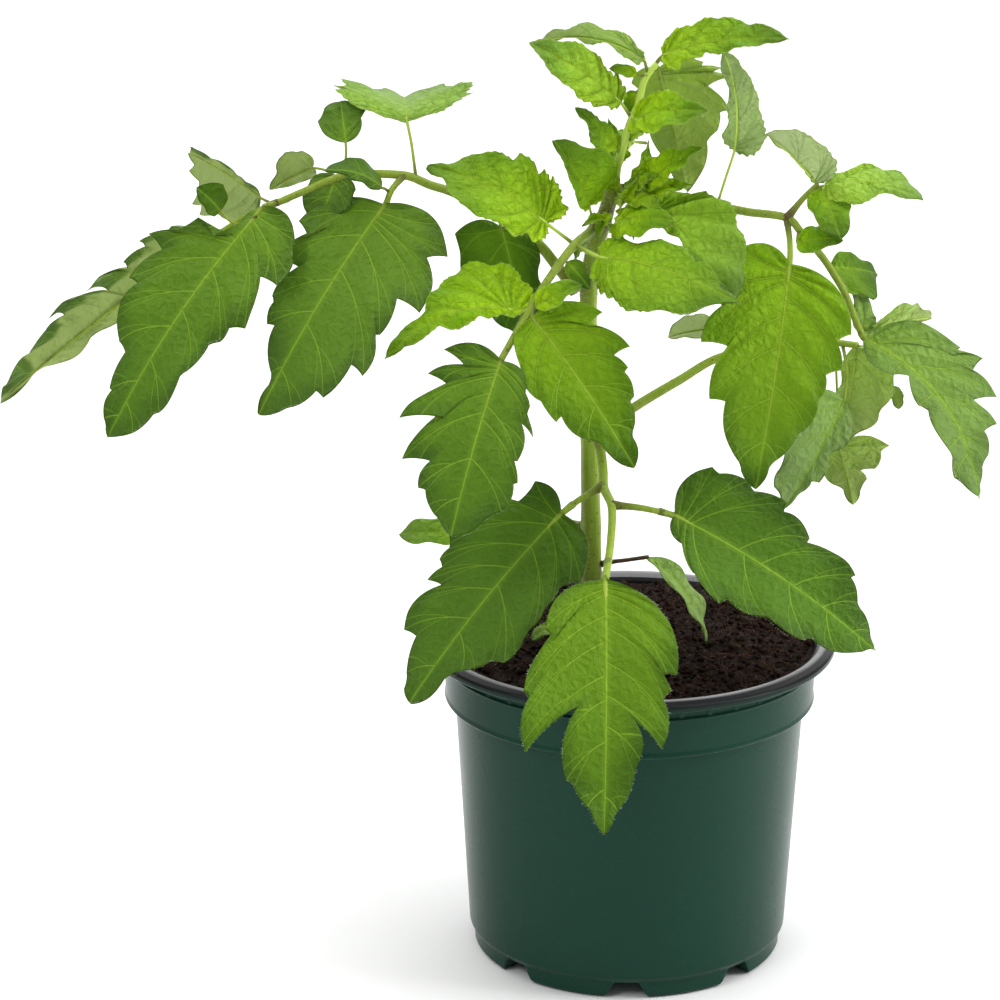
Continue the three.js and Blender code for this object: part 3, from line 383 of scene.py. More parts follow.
def soil_surface():
    """Rings about the pot's axis. The top rings lie on the lumpy height, the last few turn down the
    wall and close under the heap."""
    reach = np.linspace(0, 1, SOIL_RINGS) ** 0.8
    angle = np.linspace(0, 2 * math.pi, SOIL_TURNS, endpoint=False)
    radius = (reach * SOIL_EDGE)[:, None] * np.ones(SOIL_TURNS)
    x, y = radius * np.cos(angle), radius * np.sin(angle)
    top = np.stack([x, y, soil_height(x, y)], axis=-1)
    ring = np.stack([np.cos(angle), np.sin(angle), np.zeros(SOIL_TURNS)], axis=-1)
    wall_edge = SOIL_EDGE - 0.8
    heap = [(wall_edge, 104.0), (wall_edge, 92.0),
            (WALL_TOP_RADIUS - SHELL - 0.6, SOIL_UNDERSIDE), (0.0, SOIL_UNDERSIDE)]
    below = [ring * radius_below + np.array([0, 0, level]) for radius_below, level in heap]
    points = np.concatenate([top, np.array(below)])
    return points.reshape(-1, 3), grid_faces(len(points), SOIL_TURNS, closed=True)[:, ::-1]


CRUMB_CORNERS = np.array([[0, 0, 1], [0.9, 0, 0.3], [0.3, 0.85, 0.3], [-0.7, 0.5, 0.3], [-0.7, -0.5, 0.3],
                          [0.3, -0.85, 0.3], [0.5, 0.4, -0.6], [-0.3, 0.6, -0.6], [-0.6, -0.1, -0.6],
                          [-0.1, -0.6, -0.6], [0.6, -0.2, -0.6]])
CRUMB_FACES = np.array([
    *([0, upper, upper % 5 + 1, upper % 5 + 1] for upper in range(1, 6)),
    *([upper, upper + 5, upper % 5 + 1, upper % 5 + 1] for upper in range(1, 6)),
    *([upper, (upper + 3) % 5 + 6, upper + 5, upper + 5] for upper in range(1, 6)),
    [6, 10, 9, 7], [7, 9, 8, 8]])


def scattered(draw, count, margin):
    """Random places spread evenly over the peat, at least margin from its edge."""
    reach = (SOIL_EDGE - margin) * np.sqrt(draw.uniform(0, 1, count))
    angle = draw.uniform(0, 2 * math.pi, count)
    return reach * np.cos(angle), reach * np.sin(angle)


def repeated(cells, corners, count):
    """The faces of count copies of a small mesh with this many corners."""
    return (cells + corners * np.arange(count)[:, None, None]).reshape(-1, 4)


def crumbs():
    """Each crumb is the same eleven corners, pushed about, scaled and turned by its own random numbers,
    and half sunk in the peat's top. Their sizes follow a steep curve: many small, few large."""
    draw = np.random.default_rng(21)
    x, y = scattered(draw, CRUMB_COUNT, 1.5)
    size = LEAST_CRUMB + CRUMB_RANGE * draw.uniform(0, 1, CRUMB_COUNT) ** 5
    shape = CRUMB_CORNERS * draw.uniform(0.6, 1.3, (CRUMB_COUNT, 1, 3))
    shape = shape + draw.normal(0, 0.13, (CRUMB_COUNT, 11, 3))
    turn = draw.uniform(0, 2 * math.pi, CRUMB_COUNT)[:, None]
    turned_x = shape[..., 0] * np.cos(turn) - shape[..., 1] * np.sin(turn)
    turned_y = shape[..., 0] * np.sin(turn) + shape[..., 1] * np.cos(turn)
    shape = np.stack([turned_x, turned_y, shape[..., 2]], axis=-1) * size[:, None, None]
    middle = np.stack([x, y, soil_height(x, y) + 0.2 * size], axis=-1)
    return (middle[:, None, :] + shape).reshape(-1, 3), repeated(CRUMB_FACES, 11, CRUMB_COUNT)


def strands():
    """Each strand is a three-sided rod through four points: a straight lie on the peat, bent sideways by
    a random arc, with both ends drawn to a point."""
    draw = np.random.default_rng(22)
    middle_x, middle_y = scattered(draw, STRAND_COUNT, 5)
    heading = draw.uniform(0, 2 * math.pi, STRAND_COUNT)[:, None]
    length = draw.uniform(*STRAND_LENGTHS, STRAND_COUNT)[:, None]
    arc = draw.uniform(-0.3, 0.3, STRAND_COUNT)[:, None] * length
    step = np.array([-0.5, -0.2, 0.2, 0.5])
    bend = arc * (0.25 - step**2) * 4
    x = middle_x[:, None] + np.cos(heading) * step * length - np.sin(heading) * bend
    y = middle_y[:, None] + np.sin(heading) * step * length + np.cos(heading) * bend
    z = soil_height(x, y) + draw.uniform(0.2, 0.8, (STRAND_COUNT, 1))
    line = np.stack([x, y, z], axis=-1)
    thick = draw.uniform(*STRAND_RADII, (STRAND_COUNT, 1)) * np.array([0.3, 1, 1, 0.3])
    corner = np.linspace(0, 2 * math.pi, 3, endpoint=False)
    side = np.stack([-np.sin(heading), np.cos(heading), np.zeros_like(heading)], axis=-1)
    ring = side[:, :, None, :] * np.cos(corner)[:, None] + np.array([0, 0, 1.0]) * np.sin(corner)[:, None]
    points = line[:, :, None, :] + ring * thick[:, :, None, None]
    cells = np.concatenate([grid_faces(4, 3, closed=True), [[2, 1, 0, 0], [9, 10, 11, 11]]])
    return points.reshape(-1, 3), repeated(cells, 12, STRAND_COUNT)


def earth(name, dark, light, fleck, fleck_share):
    """Peat: two browns by a coarse noise, with a share of paler flecks where a fine noise peaks."""
    finish = Finish(name, {"Roughness": 0.8, "Specular IOR Level": 0.08})
    place = finish.place()
    fine = finish.noise(place, 1100.0, 2.0)
    brown = finish.blend(finish.ramp(finish.noise(place, 420.0, 4.0), 0.35, 0.65), dark, light)
    peak = finish.ramp(fine, 0.72 - fleck_share, 0.76 - fleck_share)
    shade = finish.blend(peak, brown, fleck)
    return finish.done({"Base Color": shade, "Normal": finish.bump(fine, 0.6, 0.0004)})


peat = earth("peat", colour(0.004, 0.0025, 0.002), colour(0.020, 0.009, 0.005),
             colour(0.085, 0.038, 0.020), 0.05)
fibre = earth("peat_fibre", colour(0.022, 0.009, 0.005), colour(0.075, 0.028, 0.014),
              colour(0.16, 0.09, 0.05), 0.1)
add_piece("soil_top", *soil_surface(), peat, "soil", ["soil"])
add_piece("soil_crumbs", *crumbs(), peat, "soil", ["soil"])
add_piece("soil_strands", *strands(), fibre, "soil", ["soil"])

# The stem: one upright green shoot, round with faint ridges, a little swollen where each leaf leaves it.
# It is browner at the foot and on its left side, and fine white hairs stand out all over it.
STEM_RADIUS = 3.9
STEM_TOP_RADIUS = 2.3
STEM_PATH = [
    (-13, 0, SOIL_TOP - 24), (-13, 0, 124), (-13.5, 0, 152), (-14.1, 0, 180), (-14.4, 0, 208),
    (-15, 0, 229), (-14.2, 0, 242), (-11.3, 0, 252), (-8.8, 0, 261), (-6.9, 0, 268),
]
STEM_SWELLINGS = [(150, 0.35), (184, 0.5), (231, 0.45), (255, 0.5), (265, 0.6)]
SWELLING_REACH = 4.0
STEM_PITCH, STEM_SIDES = 1.2, 40
BURIED_STEPS, CROWN_STEPS = 20, 34
STEM_HAIRS, STEM_HAIR_LENGTH = 4600, 1.1
TOP_HAIRS, TOP_HAIR_LENGTH = 1900, 1.9
HAIR_THICKNESS = 0.035
HAIR_ROOT = 0.93


def smooth_path(points, pitch):
    """Places about pitch apart on the centripetal Catmull-Rom curve through the points: on each span a
    cubic whose end slopes weigh the neighbouring spans by the square roots of their lengths."""
    given = np.array(points, float)
    given = np.vstack([2 * given[0] - given[1], given, 2 * given[-1] - given[-2]])
    line = [given[1:2]]
    for first, start, end, last in zip(given, given[1:], given[2:], given[3:]):
        spans = start - first, end - start, last - end
        before, here, after = (math.sqrt(np.linalg.norm(span)) for span in spans)
        leave = here * ((start - first) / before - (end - first) / (before + here) + (end - start) / here)
        arrive = here * ((end - start) / here - (last - start) / (here + after) + (last - end) / after)
        steps = max(1, round(np.linalg.norm(end - start) / pitch))
        t = np.linspace(0, 1, steps + 1)[1:, None]
        line.append((2 * t**3 - 3 * t**2 + 1) * start + (t**3 - 2 * t**2 + t) * leave
                    + (3 * t**2 - 2 * t**3) * end + (t**3 - t**2) * arrive)
    return np.concatenate(line)


def unit(ways):
    """Each row's direction, one long."""
    return ways / np.linalg.norm(ways, axis=1, keepdims=True)


def tube(path, radii, sides, swell=None):
    """A ring of corners round each place of the path, square to it and turned as little as possible from
    one place to the next; swell(angle, share) multiplies the radius. Both ends close on a middle point."""
    ahead = unit(np.gradient(path, axis=0))
    side = np.cross(ahead[0], (0.3, 1.0, 0.2))
    sides_on = []
    for way in ahead:
        side = side - way * side.dot(way)
        side /= np.linalg.norm(side)
        sides_on.append(side)
    sides_on = np.array(sides_on)[:, None, :]
    other = np.cross(ahead, sides_on[:, 0])[:, None, :]
    angle = np.linspace(0, 2 * math.pi, sides, endpoint=False)
    share = np.linspace(0, 1, len(path))[:, None]
    reach = np.asarray(radii)[:, None] * (swell(angle, share) if swell else np.ones((1, sides)))
    ring = sides_on * np.cos(angle)[:, None] + other * np.sin(angle)[:, None]
    rings = path[:, None, :] + reach[..., None] * ring
    first, last = (np.repeat(end[:, None, :], sides, axis=1) for end in (path[:1], path[-1:]))
    points = np.concatenate([first, rings, last]).reshape(-1, 3)
    along = np.repeat(np.concatenate([[0], share[:, 0], [1]]), sides)
    return points, grid_faces(len(path) + 2, sides, closed=True), along


def gathered(parts):
    """Several meshes as one: points and marks are joined end to end and the face numbers shifted."""
    starts = np.cumsum([0] + [len(part[0]) for part in parts[:-1]])
    points = np.concatenate([part[0] for part in parts])
    faces = np.concatenate([part[1] + start for part, start in zip(parts, starts)])
    return (points, faces, *(np.concatenate(rest) for rest in zip(*(part[2:] for part in parts))))


def welded(points, faces, *marks):
    """Points closer than a ten-thousandth of a millimetre become one, and keep the first one's marks."""
    _, first, same = np.unique(np.round(points, 4), axis=0, return_index=True, return_inverse=True)
    return (points[first], same.ravel()[faces], *(mark[first] for mark in marks))


def chance_spots(draw, line, count):
    """Random places on a line: for each the number of the point before it, and its share of the way on."""
    where = draw.uniform(0, len(line) - 1.001, count)
    low = where.astype(int)
    return low, (where - low)[:, None]


def between(values, low, share):
    """Values along a line, taken at the places that chance_spots gave."""
    return values[low] * (1 - share) + values[low + 1] * share


def spikes(foot, tip, first_way, second_way, thick):
    """Fine spikes, each with three corners round its foot, thick away in the plane of two ways, and a tip."""
    turns = (0, 2.094, 4.189)
    feet = [foot + thick * (first_way * math.cos(turn) + second_way * math.sin(turn)) for turn in turns]
    cells = np.array([[0, 1, 3, 3], [1, 2, 3, 3], [2, 0, 3, 3], [2, 1, 0, 0]])
    return np.stack([*feet, tip], axis=1).reshape(-1, 3), repeated(cells, 4, len(foot))


def hairs(path, radii, count, length, seed):
    """Fine spikes on a stalk, standing out square to it with a random lean, and with a length between
    half and the whole of the given one."""
    draw = np.random.default_rng(seed)
    low, share = chance_spots(draw, path, count)
    ahead = unit(path[low + 1] - path[low])
    out = unit(np.cross(ahead, draw.normal(size=(count, 3))))
    foot = between(path, low, share) + out * between(np.asarray(radii)[:, None], low, share) * HAIR_ROOT
    tall = length * draw.uniform(0.5, 1, (count, 1))
    tip = foot + tall * (out + 0.35 * draw.normal(size=(count, 3)) * 0.6)
    return spikes(foot, tip, np.cross(ahead, out), ahead, HAIR_THICKNESS)


def stalk_skin():
    """Skin of stem and stalks: a green that turns purplish brown by the mark 'blush', or pale yellow
    green where blush is below zero, with long streaks and a few brown specks."""
    finish = Finish("stalk_skin", {
        "Roughness": 0.45, "Specular IOR Level": 0.22, "Specular Tint": colour(0.85, 1.0, 0.5),
        "Subsurface Weight": 0.15, "Subsurface Scale": 0.001})
    place = finish.place()
    blush = finish.mark("blush")["Fac"]
    drawn_out = finish.node("Mapping", {"Vector": place, "Scale": (1.0, 1.0, 0.12)})["Vector"]
    streak = finish.noise(drawn_out, 900.0, 3.0)
    green = finish.blend(streak, colour(0.150, 0.240, 0.016), colour(0.330, 0.440, 0.060))
    green = finish.blend(finish.ramp(blush, 0.0, -1.0), green, colour(0.50, 0.68, 0.11))
    share = finish.reckon("MULTIPLY", blush, finish.noise(place, 90.0, 2.0))
    share = finish.reckon("MULTIPLY", share, 1.7, clamp=True)
    skin = finish.blend(share, green, colour(0.085, 0.045, 0.035))
    speck = finish.node("TexVoronoi", {"Vector": place, "Scale": 380.0})["Distance"]
    skin = finish.blend(finish.ramp(speck, 0.10, 0.16, 0.75, 0.0), skin, colour(0.06, 0.045, 0.018))
    return finish.done({"Base Color": skin, "Normal": finish.bump(streak, 0.35, 0.0003)})


stalk_material = stalk_skin()
hair_material = Finish("plant_hair", {"Base Color": colour(0.75, 0.82, 0.55), "Roughness": 0.6}).material


def stem_swell(angle, share):
    """Five faint ridges that wind a little on their way up."""
    return 1 + 0.035 * np.sin(5 * angle + 3.0 * share) + 0.02 * np.sin(2 * angle + 9 * share)


def rise(gap, span):
    """0 to 1 while a gap grows from nothing to span."""
    return np.clip(gap / span, 0, 1)


stem_line = smooth_path(STEM_PATH, STEM_PITCH)
stem_radii = np.linspace(STEM_RADIUS, STEM_TOP_RADIUS, len(stem_line))
for swelling_height, swelling in STEM_SWELLINGS:
    stem_radii += 0.6 * swelling * np.exp(-(((stem_line[:, 2] - swelling_height) / SWELLING_REACH) ** 2))
stem_points, stem_faces, _ = tube(stem_line, stem_radii, STEM_SIDES, stem_swell)
stem_x, _, stem_z = stem_points.T
# Browner below 150 mm, on the left flank and under the crown, fresher between 150 and 235 mm.
foot_blush = 0.9 * rise(150 - stem_z, 60)
left_blush = 0.5 * rise(-13.0 - stem_x, 3.0)
top_blush = 0.55 * rise(stem_z - 246, 8) * rise(264 - stem_z, 8)
stem_blush = np.clip(np.maximum.reduce([foot_blush, left_blush, top_blush]), 0, 1)
stem_blush -= 0.6 * rise(stem_z - 150, 40) * rise(235 - stem_z, 20)
stem_blush += 0.5 * rise(stem_z - 250, 8)
stem_points, stem_faces, stem_blush = welded(stem_points, stem_faces, stem_blush)
add_piece("stem_shoot", stem_points, stem_faces, stalk_material, "stem", ["stem"], {"blush": stem_blush})
hair_line, hair_radii = stem_line[BURIED_STEPS:], stem_radii[BURIED_STEPS:]
short_hairs = hairs(hair_line, hair_radii, STEM_HAIRS, STEM_HAIR_LENGTH, 31)
crown_line, crown_radii = hair_line[-CROWN_STEPS:], hair_radii[-CROWN_STEPS:]
long_hairs = hairs(crown_line, crown_radii, TOP_HAIRS, TOP_HAIR_LENGTH, 32)
add_piece("stem_hairs", *gathered([short_hairs, long_hairs]), hair_material, "stem", ["stem"])

# Leaf 1, the long one that arches out to the left, and the way all the leaves are made. A compound leaf
# is one green stalk with leaflets on short stalks of their own. Each leaflet is a thin cut blade: veins
# sunk above and raised below, the blade puffed up between them, short teeth, and hairs on the edge.
BLADE_THICKNESS = 0.36
BLADE_SUNK = 0.15
EDGE_PITCH = 0.85
TOOTH_PITCH = 2.6
LOBE_FLANK = 0.15
FIRST_BULGE, LONG_BULGE, SHORT_BULGE, HOLLOW = 0.22, 0.13, 0.08, -0.06
DEEP_NOTCH = 0.14
NOTCH_SETBACK = 0.8
VEIN_PITCH = 12.0
YOUNG_VEIN_GAIN = 5.0
VEIN_SPARE = 0.45
VEIN_SETBACKS = (1.0, 1.25, 1.5, 1.8, 2.2)
FOOT_PITCH = 0.02
LAST_FOOT = 0.97
BLADE_ROWS = np.array([0, 0.03, 0.07, 0.12, 0.18, 0.24, 0.31, 0.38, 0.45, 0.52, 0.59, 0.66, 0.73, 0.80, 0.86,
                       0.92, 0.97, 1.0])
SMALL_BLADE = 28.0
BEND_ALONG, BEND_OUT = 0.3, 0.62
FAR = 99.0
CREASE = 0.02
VEIN_HALF, VEIN_TAPER = 0.22, 0.13
RIB_HALF, RIB_TAPER = 0.42, 0.30
EVENED_OVER, LOBE_OVER = 13, 29
WIDEST_PUFF = 11
PUCKER_PITCH = 3.6
RUFFLE = 0.020
GROOVE_REACH = 0.7
RIDGE_HEIGHT, RIDGE_REACH = 0.22, 0.45
FOLDED_BEND = 0.06
AGE_AT_BASE, AGE_FALL = 1.75, 1.45
MAP_STEP = 3.7
STALK_PITCH, STALK_SIDES = 1.4, 14
OWN_STALK_PITCH, OWN_STALK_SIDES, OWN_STALK_END = 1.6, 9, 0.16
MIDRIB_PLACES = np.array([0, 0.1, 0.25, 0.45, 0.65, 0.82, 0.95])
MIDRIB_SUNK = np.array([0.2, 0.75, 0.95, 0.8, 0.6, 0.4, 0.25])
STALK_HAIRS, STALK_HAIR_LENGTH = 9, 0.9
OWN_STALK_HAIRS, OWN_STALK_HAIR_LENGTH = 3, 0.7
EDGE_HAIRS, EDGE_HAIR_THICKNESS = 1.6, 0.03
DEEP_GREENS = colour(0.020, 0.066, 0.002), colour(0.046, 0.120, 0.003)
YOUNG_GREENS = colour(0.225, 0.455, 0.006), colour(0.345, 0.630, 0.009)
MIDDLE_GREENS = colour(0.068, 0.180, 0.003), colour(0.440, 0.720, 0.012)
YELLOWED = colour(0.62, 0.92, 0.002)
# The paler grey green that tone mixes into the upper skin: partly the skin's own paler colour, partly painted
# sheen.
PALE_AND_SHEEN = colour(0.46, 0.62, 0.25)
MOTTLED = colour(0.03, 0.10, 0.002)
# Painted shade for the creases along the side veins and the net, strongest on young skin.
CREASE_SHADE = colour(0.035, 0.120, 0.002)
UNDERSIDES = colour(0.31, 0.44, 0.07), colour(0.43, 0.57, 0.13)
YOUNG_UNDERSIDES = colour(0.48, 0.72, 0.04), colour(0.62, 0.86, 0.12)
BLEACHED_UNDERSIDE = colour(0.78, 0.88, 0.50)
VEINS_ABOVE = colour(0.27, 0.47, 0.04), colour(0.52, 0.74, 0.05)
VEINS_BELOW = colour(0.45, 0.55, 0.22)
# Thin rims at a blade's edge: darker on mature skin, a pale painted highlight on young skin.
EDGE_DARK_AND_HIGHLIGHT = colour(0.020, 0.050, 0.002), colour(0.36, 0.52, 0.08)
LIGHT_THROUGH = colour(0.17, 0.36, 0.004), colour(0.42, 0.64, 0.008)


def leaflet(start, base, tip, face, **traits):
    """One leaflet as it stands in a leaf's table. Its stalk runs from the start points to its base, tip is
    its far end and face the way its upper skin looks. bow arches it, in percent of its length, and fold
    lifts its halves, in degrees. left and right are its edges in percent of its length: by turns a place
    along and a place out, for a lobe's tip and the notch after it. Some have more traits: sweep bends the
    midrib sideways in percent, age runs from mature at 0 to young at 1, tone pales the skin, partly to its
    own paler colour and partly as painted sheen, teeth is the height of small teeth, quilt that of the
    puffs between veins; blade tells of folded and turned."""
    return {"start": start, "base": base, "tip": tip, "face": face, **traits}


def leaflet_frame(row):
    """Base, unit vectors along and out, the face, the length and the midrib of a leaflet, as in the
    part's source: the face is squared to the midrib, out is face cross along."""
    base = np.array(row["base"], float)
    along = np.array(row["tip"], float) - base
    length = np.linalg.norm(along)
    along /= length
    face = np.array(row["face"], float)
    face -= along * face.dot(along)
    face /= np.linalg.norm(face)
    sweep = row.get("sweep", 0) / 100
    return base, along, np.cross(face, along), face, length, lambda s: sweep * 4 * s * (1 - s)


def placed(row, s, w):
    """The place of s along and w out, both as shares of the length: the midrib arches by the bow, and
    the halves rise from it by the fold, with a soft crease."""
    base, along, out, face, length, midrib = leaflet_frame(row)
    inside = np.clip(s, 0, 1)
    across = w - midrib(inside)
    lift = row["bow"] / 100 * 4 * inside * (1 - inside)
    lift = lift + math.tan(math.radians(row["fold"])) * (np.sqrt(across**2 + CREASE**2) - CREASE)
    return base + length * (s[..., None] * along + w[..., None] * out + lift[..., None] * face)


def edge_line(numbers, length, toothed, vein_pitch=VEIN_PITCH):
    """One edge from base to tip. Every flank that runs to a lobe's tip bulges by a parabola, every short
    side behind a tip is slightly hollow, and young flanks carry a saw of small teeth. Also returns the
    numbers of the points where side veins end, at each lobe's tip and about vein_pitch apart on the
    flanks, and of the notches that reach close to the midrib."""
    corners = [(0.0, 0.0), *zip(np.array(numbers[::2]) / 100, np.array(numbers[1::2]) / 100), (1.0, 0.0)]
    s, w, veins, notches = [np.zeros(1)], [np.zeros(1)], [], []
    count = 1
    for index, ((s0, w0), (s1, w1)) in enumerate(zip(corners, corners[1:])):
        reach = math.hypot(s1 - s0, w1 - w0)
        to_lobe = index % 2 == 0
        steps = max(3, math.ceil(reach * length / EDGE_PITCH))
        q = np.linspace(0, 1, steps + 1)[1:]
        flank_bulge = FIRST_BULGE if index == 0 else LONG_BULGE if reach > LOBE_FLANK else SHORT_BULGE
        push = (flank_bulge if to_lobe else HOLLOW) * 4 * q * (1 - q)
        if to_lobe and toothed:
            saw = (q * max(1, round(reach * length / TOOTH_PITCH))) % 1.0
            fading = np.clip(1.7 - 1.5 * (s0 + q * (s1 - s0)), 0.4, 1.7)
            size = toothed * TOOTH_PITCH / (reach * length) * fading
            push = push + size * np.where(q < 0.97, saw**1.5 - 0.4, 0)
        s.append(s0 + q * (s1 - s0) - push * (w1 - w0))
        w.append(w0 + q * (w1 - w0) + push * (s1 - s0))
        last = index == len(corners) - 2
        if to_lobe:
            shares = max(1, round(reach * length / vein_pitch))
            veins += [count - 1 + steps * share // shares for share in range(1, shares + (not last))]
        elif w1 < DEEP_NOTCH:
            notches.append(count - 1 + steps)
        count += steps
    return np.concatenate(s), np.concatenate(w), veins, notches


def crossed(s, w):
    """How many cells of a grid of places are turned over."""
    a_s, a_w = np.diff(s[:-1], axis=1), np.diff(w[:-1], axis=1)
    b_s, b_w = np.diff(s[:, :-1], axis=0), np.diff(w[:, :-1], axis=0)
    turn = a_s * b_w - a_w * b_s
    return min((turn < -1e-7).sum(), (turn > 1e-7).sum())


def arched_columns(edge_s, edge_w, foot, foot_w, rows):
    """Columns of a half blade. Each is a parabola from its foot on the midrib to its point on the edge,
    and it leaves the midrib steeply: (1-t)^2 foot + 2t(1-t) bend + t^2 edge, for t of each row."""
    bend_s, bend_w = foot + BEND_ALONG * (edge_s - foot), foot_w + BEND_OUT * (edge_w - foot_w)
    t = rows[:, None]
    s = (1 - t) ** 2 * foot + 2 * t * (1 - t) * bend_s + t**2 * edge_s
    w = (1 - t) ** 2 * foot_w + 2 * t * (1 - t) * bend_w + t**2 * edge_w
    return s, w


def half_blade(row, numbers, side, toothed, youth):
    """One half as a grid of rows from midrib to edge by columns from base to tip. Side veins are columns,
    and their feet lie behind their tips by k times the width; of the given setbacks k the first that
    turns fewest cells over is taken. Marks: distances over half-widths for side veins and midrib, and
    distance to the edge. Also the puff between veins, the gap to the forks, and how far a place lies out
    in a lobe, past the narrowest column near it."""
    length, midrib = leaflet_frame(row)[4:]
    vein_pitch = VEIN_PITCH - YOUNG_VEIN_GAIN * youth
    edge_s, edge_w, veins, notches = edge_line(numbers, length, toothed, vein_pitch)
    arc = np.concatenate([[0], np.cumsum(np.hypot(np.diff(edge_s), np.diff(edge_w)))])
    spare = VEIN_SPARE * vein_pitch / length
    veins = [vein for vein, last in zip(veins, [0, *veins]) if arc[vein] - arc[last] > spare]
    rows = BLADE_ROWS if length > SMALL_BLADE else np.append(BLADE_ROWS[:-1:2], 1.0)
    end = len(arc) - 1
    stops = np.array([0, *veins, end])
    anchors = np.array(sorted([*stops, *notches]))
    notched = np.isin(anchors, notches)
    fewest = math.inf
    for setback in VEIN_SETBACKS:
        feet = edge_s[anchors] - np.where(notched, NOTCH_SETBACK, setback) * np.abs(edge_w[anchors])
        feet[0], feet[-1] = 0.0, 1.0
        for index in range(1, len(feet) - 1):
            feet[index] = min(max(feet[index], feet[index - 1] + FOOT_PITCH), LAST_FOOT)
        foot = np.interp(arc, arc[anchors], feet)
        tried = arched_columns(edge_s, edge_w, foot, midrib(foot) * side, rows)
        turned_over = crossed(*tried)
        if turned_over < fewest:
            fewest, s, w = turned_over, *tried
        if turned_over == 0:
            break
    t = rows[:, None] * np.ones(len(arc))
    near = np.searchsorted(arc[stops], arc, side="right").clip(1, len(stops) - 1)
    before, after = stops[near - 1], stops[near]
    gap_before = np.hypot(s - s[:, before], w - w[:, before]) * length + np.where(before == 0, FAR, 0)
    gap_after = np.hypot(s - s[:, after], w - w[:, after]) * length + np.where(after == end, FAR, 0)
    vein_gap = np.minimum(gap_before, gap_after)
    thick = np.clip(length / 60, 0.5, 1.0)
    vein_half = thick * (VEIN_HALF - VEIN_TAPER * t)
    rib_half = thick * (RIB_HALF - RIB_TAPER * np.clip(s, 0, 1))
    rib_gap = np.abs(w - midrib(np.clip(s, 0, 1)) * side) * length
    # The widths are those of the setback tried last, also where an earlier one was better.
    column = np.hypot(edge_s - foot, edge_w - midrib(foot) * side)
    padded = np.pad(column, EVENED_OVER // 2, mode="edge")
    even = np.convolve(padded, np.full(EVENED_OVER, 1 / EVENED_OVER), mode="valid")
    edge_gap = (1 - t) * even * length
    span = np.maximum(arc[after] - arc[before], 1e-6)
    between_veins = (arc - arc[before]) / span
    fork_at = 0.5 - 0.30 * np.clip((t - 0.35) / 0.65, 0, 1) ** 0.8
    fork_gap = (np.abs(between_veins - 0.5) - fork_at) * (gap_before.clip(0, 60) + gap_after.clip(0, 60))
    width = np.minimum(span * length, WIDEST_PUFF)
    puff = np.sin(math.pi * between_veins) ** 2 * width * t**0.8 * (1 - 0.6 * t**2)
    marks = np.stack([vein_gap / vein_half, rib_gap / rib_half, edge_gap], axis=-1)
    padded = np.pad(column, LOBE_OVER // 2, mode="edge")
    windows = np.lib.stride_tricks.sliding_window_view(padded, LOBE_OVER)
    lobe = np.clip((t * column - windows.min(axis=-1)) * length, 0, None)
    return s, w * side, marks, puff, vein_gap, fork_gap, lobe, t


def puckers(x, y, seed):
    """Domes of the skin between the finest veins, 0 to 1: one less the square of the distance to the
    nearest of a lattice's points, each moved about by chance, over the lattice's pitch."""
    moved = np.random.default_rng(seed).uniform(0.1, 0.9, (32, 32, 2))
    column, row = np.floor(x / PUCKER_PITCH).astype(int), np.floor(y / PUCKER_PITCH).astype(int)
    nearest = np.full(x.shape, 9.0)
    for step_x in (-1, 0, 1):
        for step_y in (-1, 0, 1):
            shift = moved[(column + step_x) % 32, (row + step_y) % 32]
            gap_x = x / PUCKER_PITCH - column - step_x - shift[..., 0]
            gap_y = y / PUCKER_PITCH - row - step_y - shift[..., 1]
            nearest = np.minimum(nearest, gap_x**2 + gap_y**2)
    return 1 - np.clip(nearest, 0, 1)


def halves(row):
    """The two halves of a leaflet: the numbers of each edge, and which side of the midrib it is on."""
    return (row["left"], 1), (row["right"], -1)


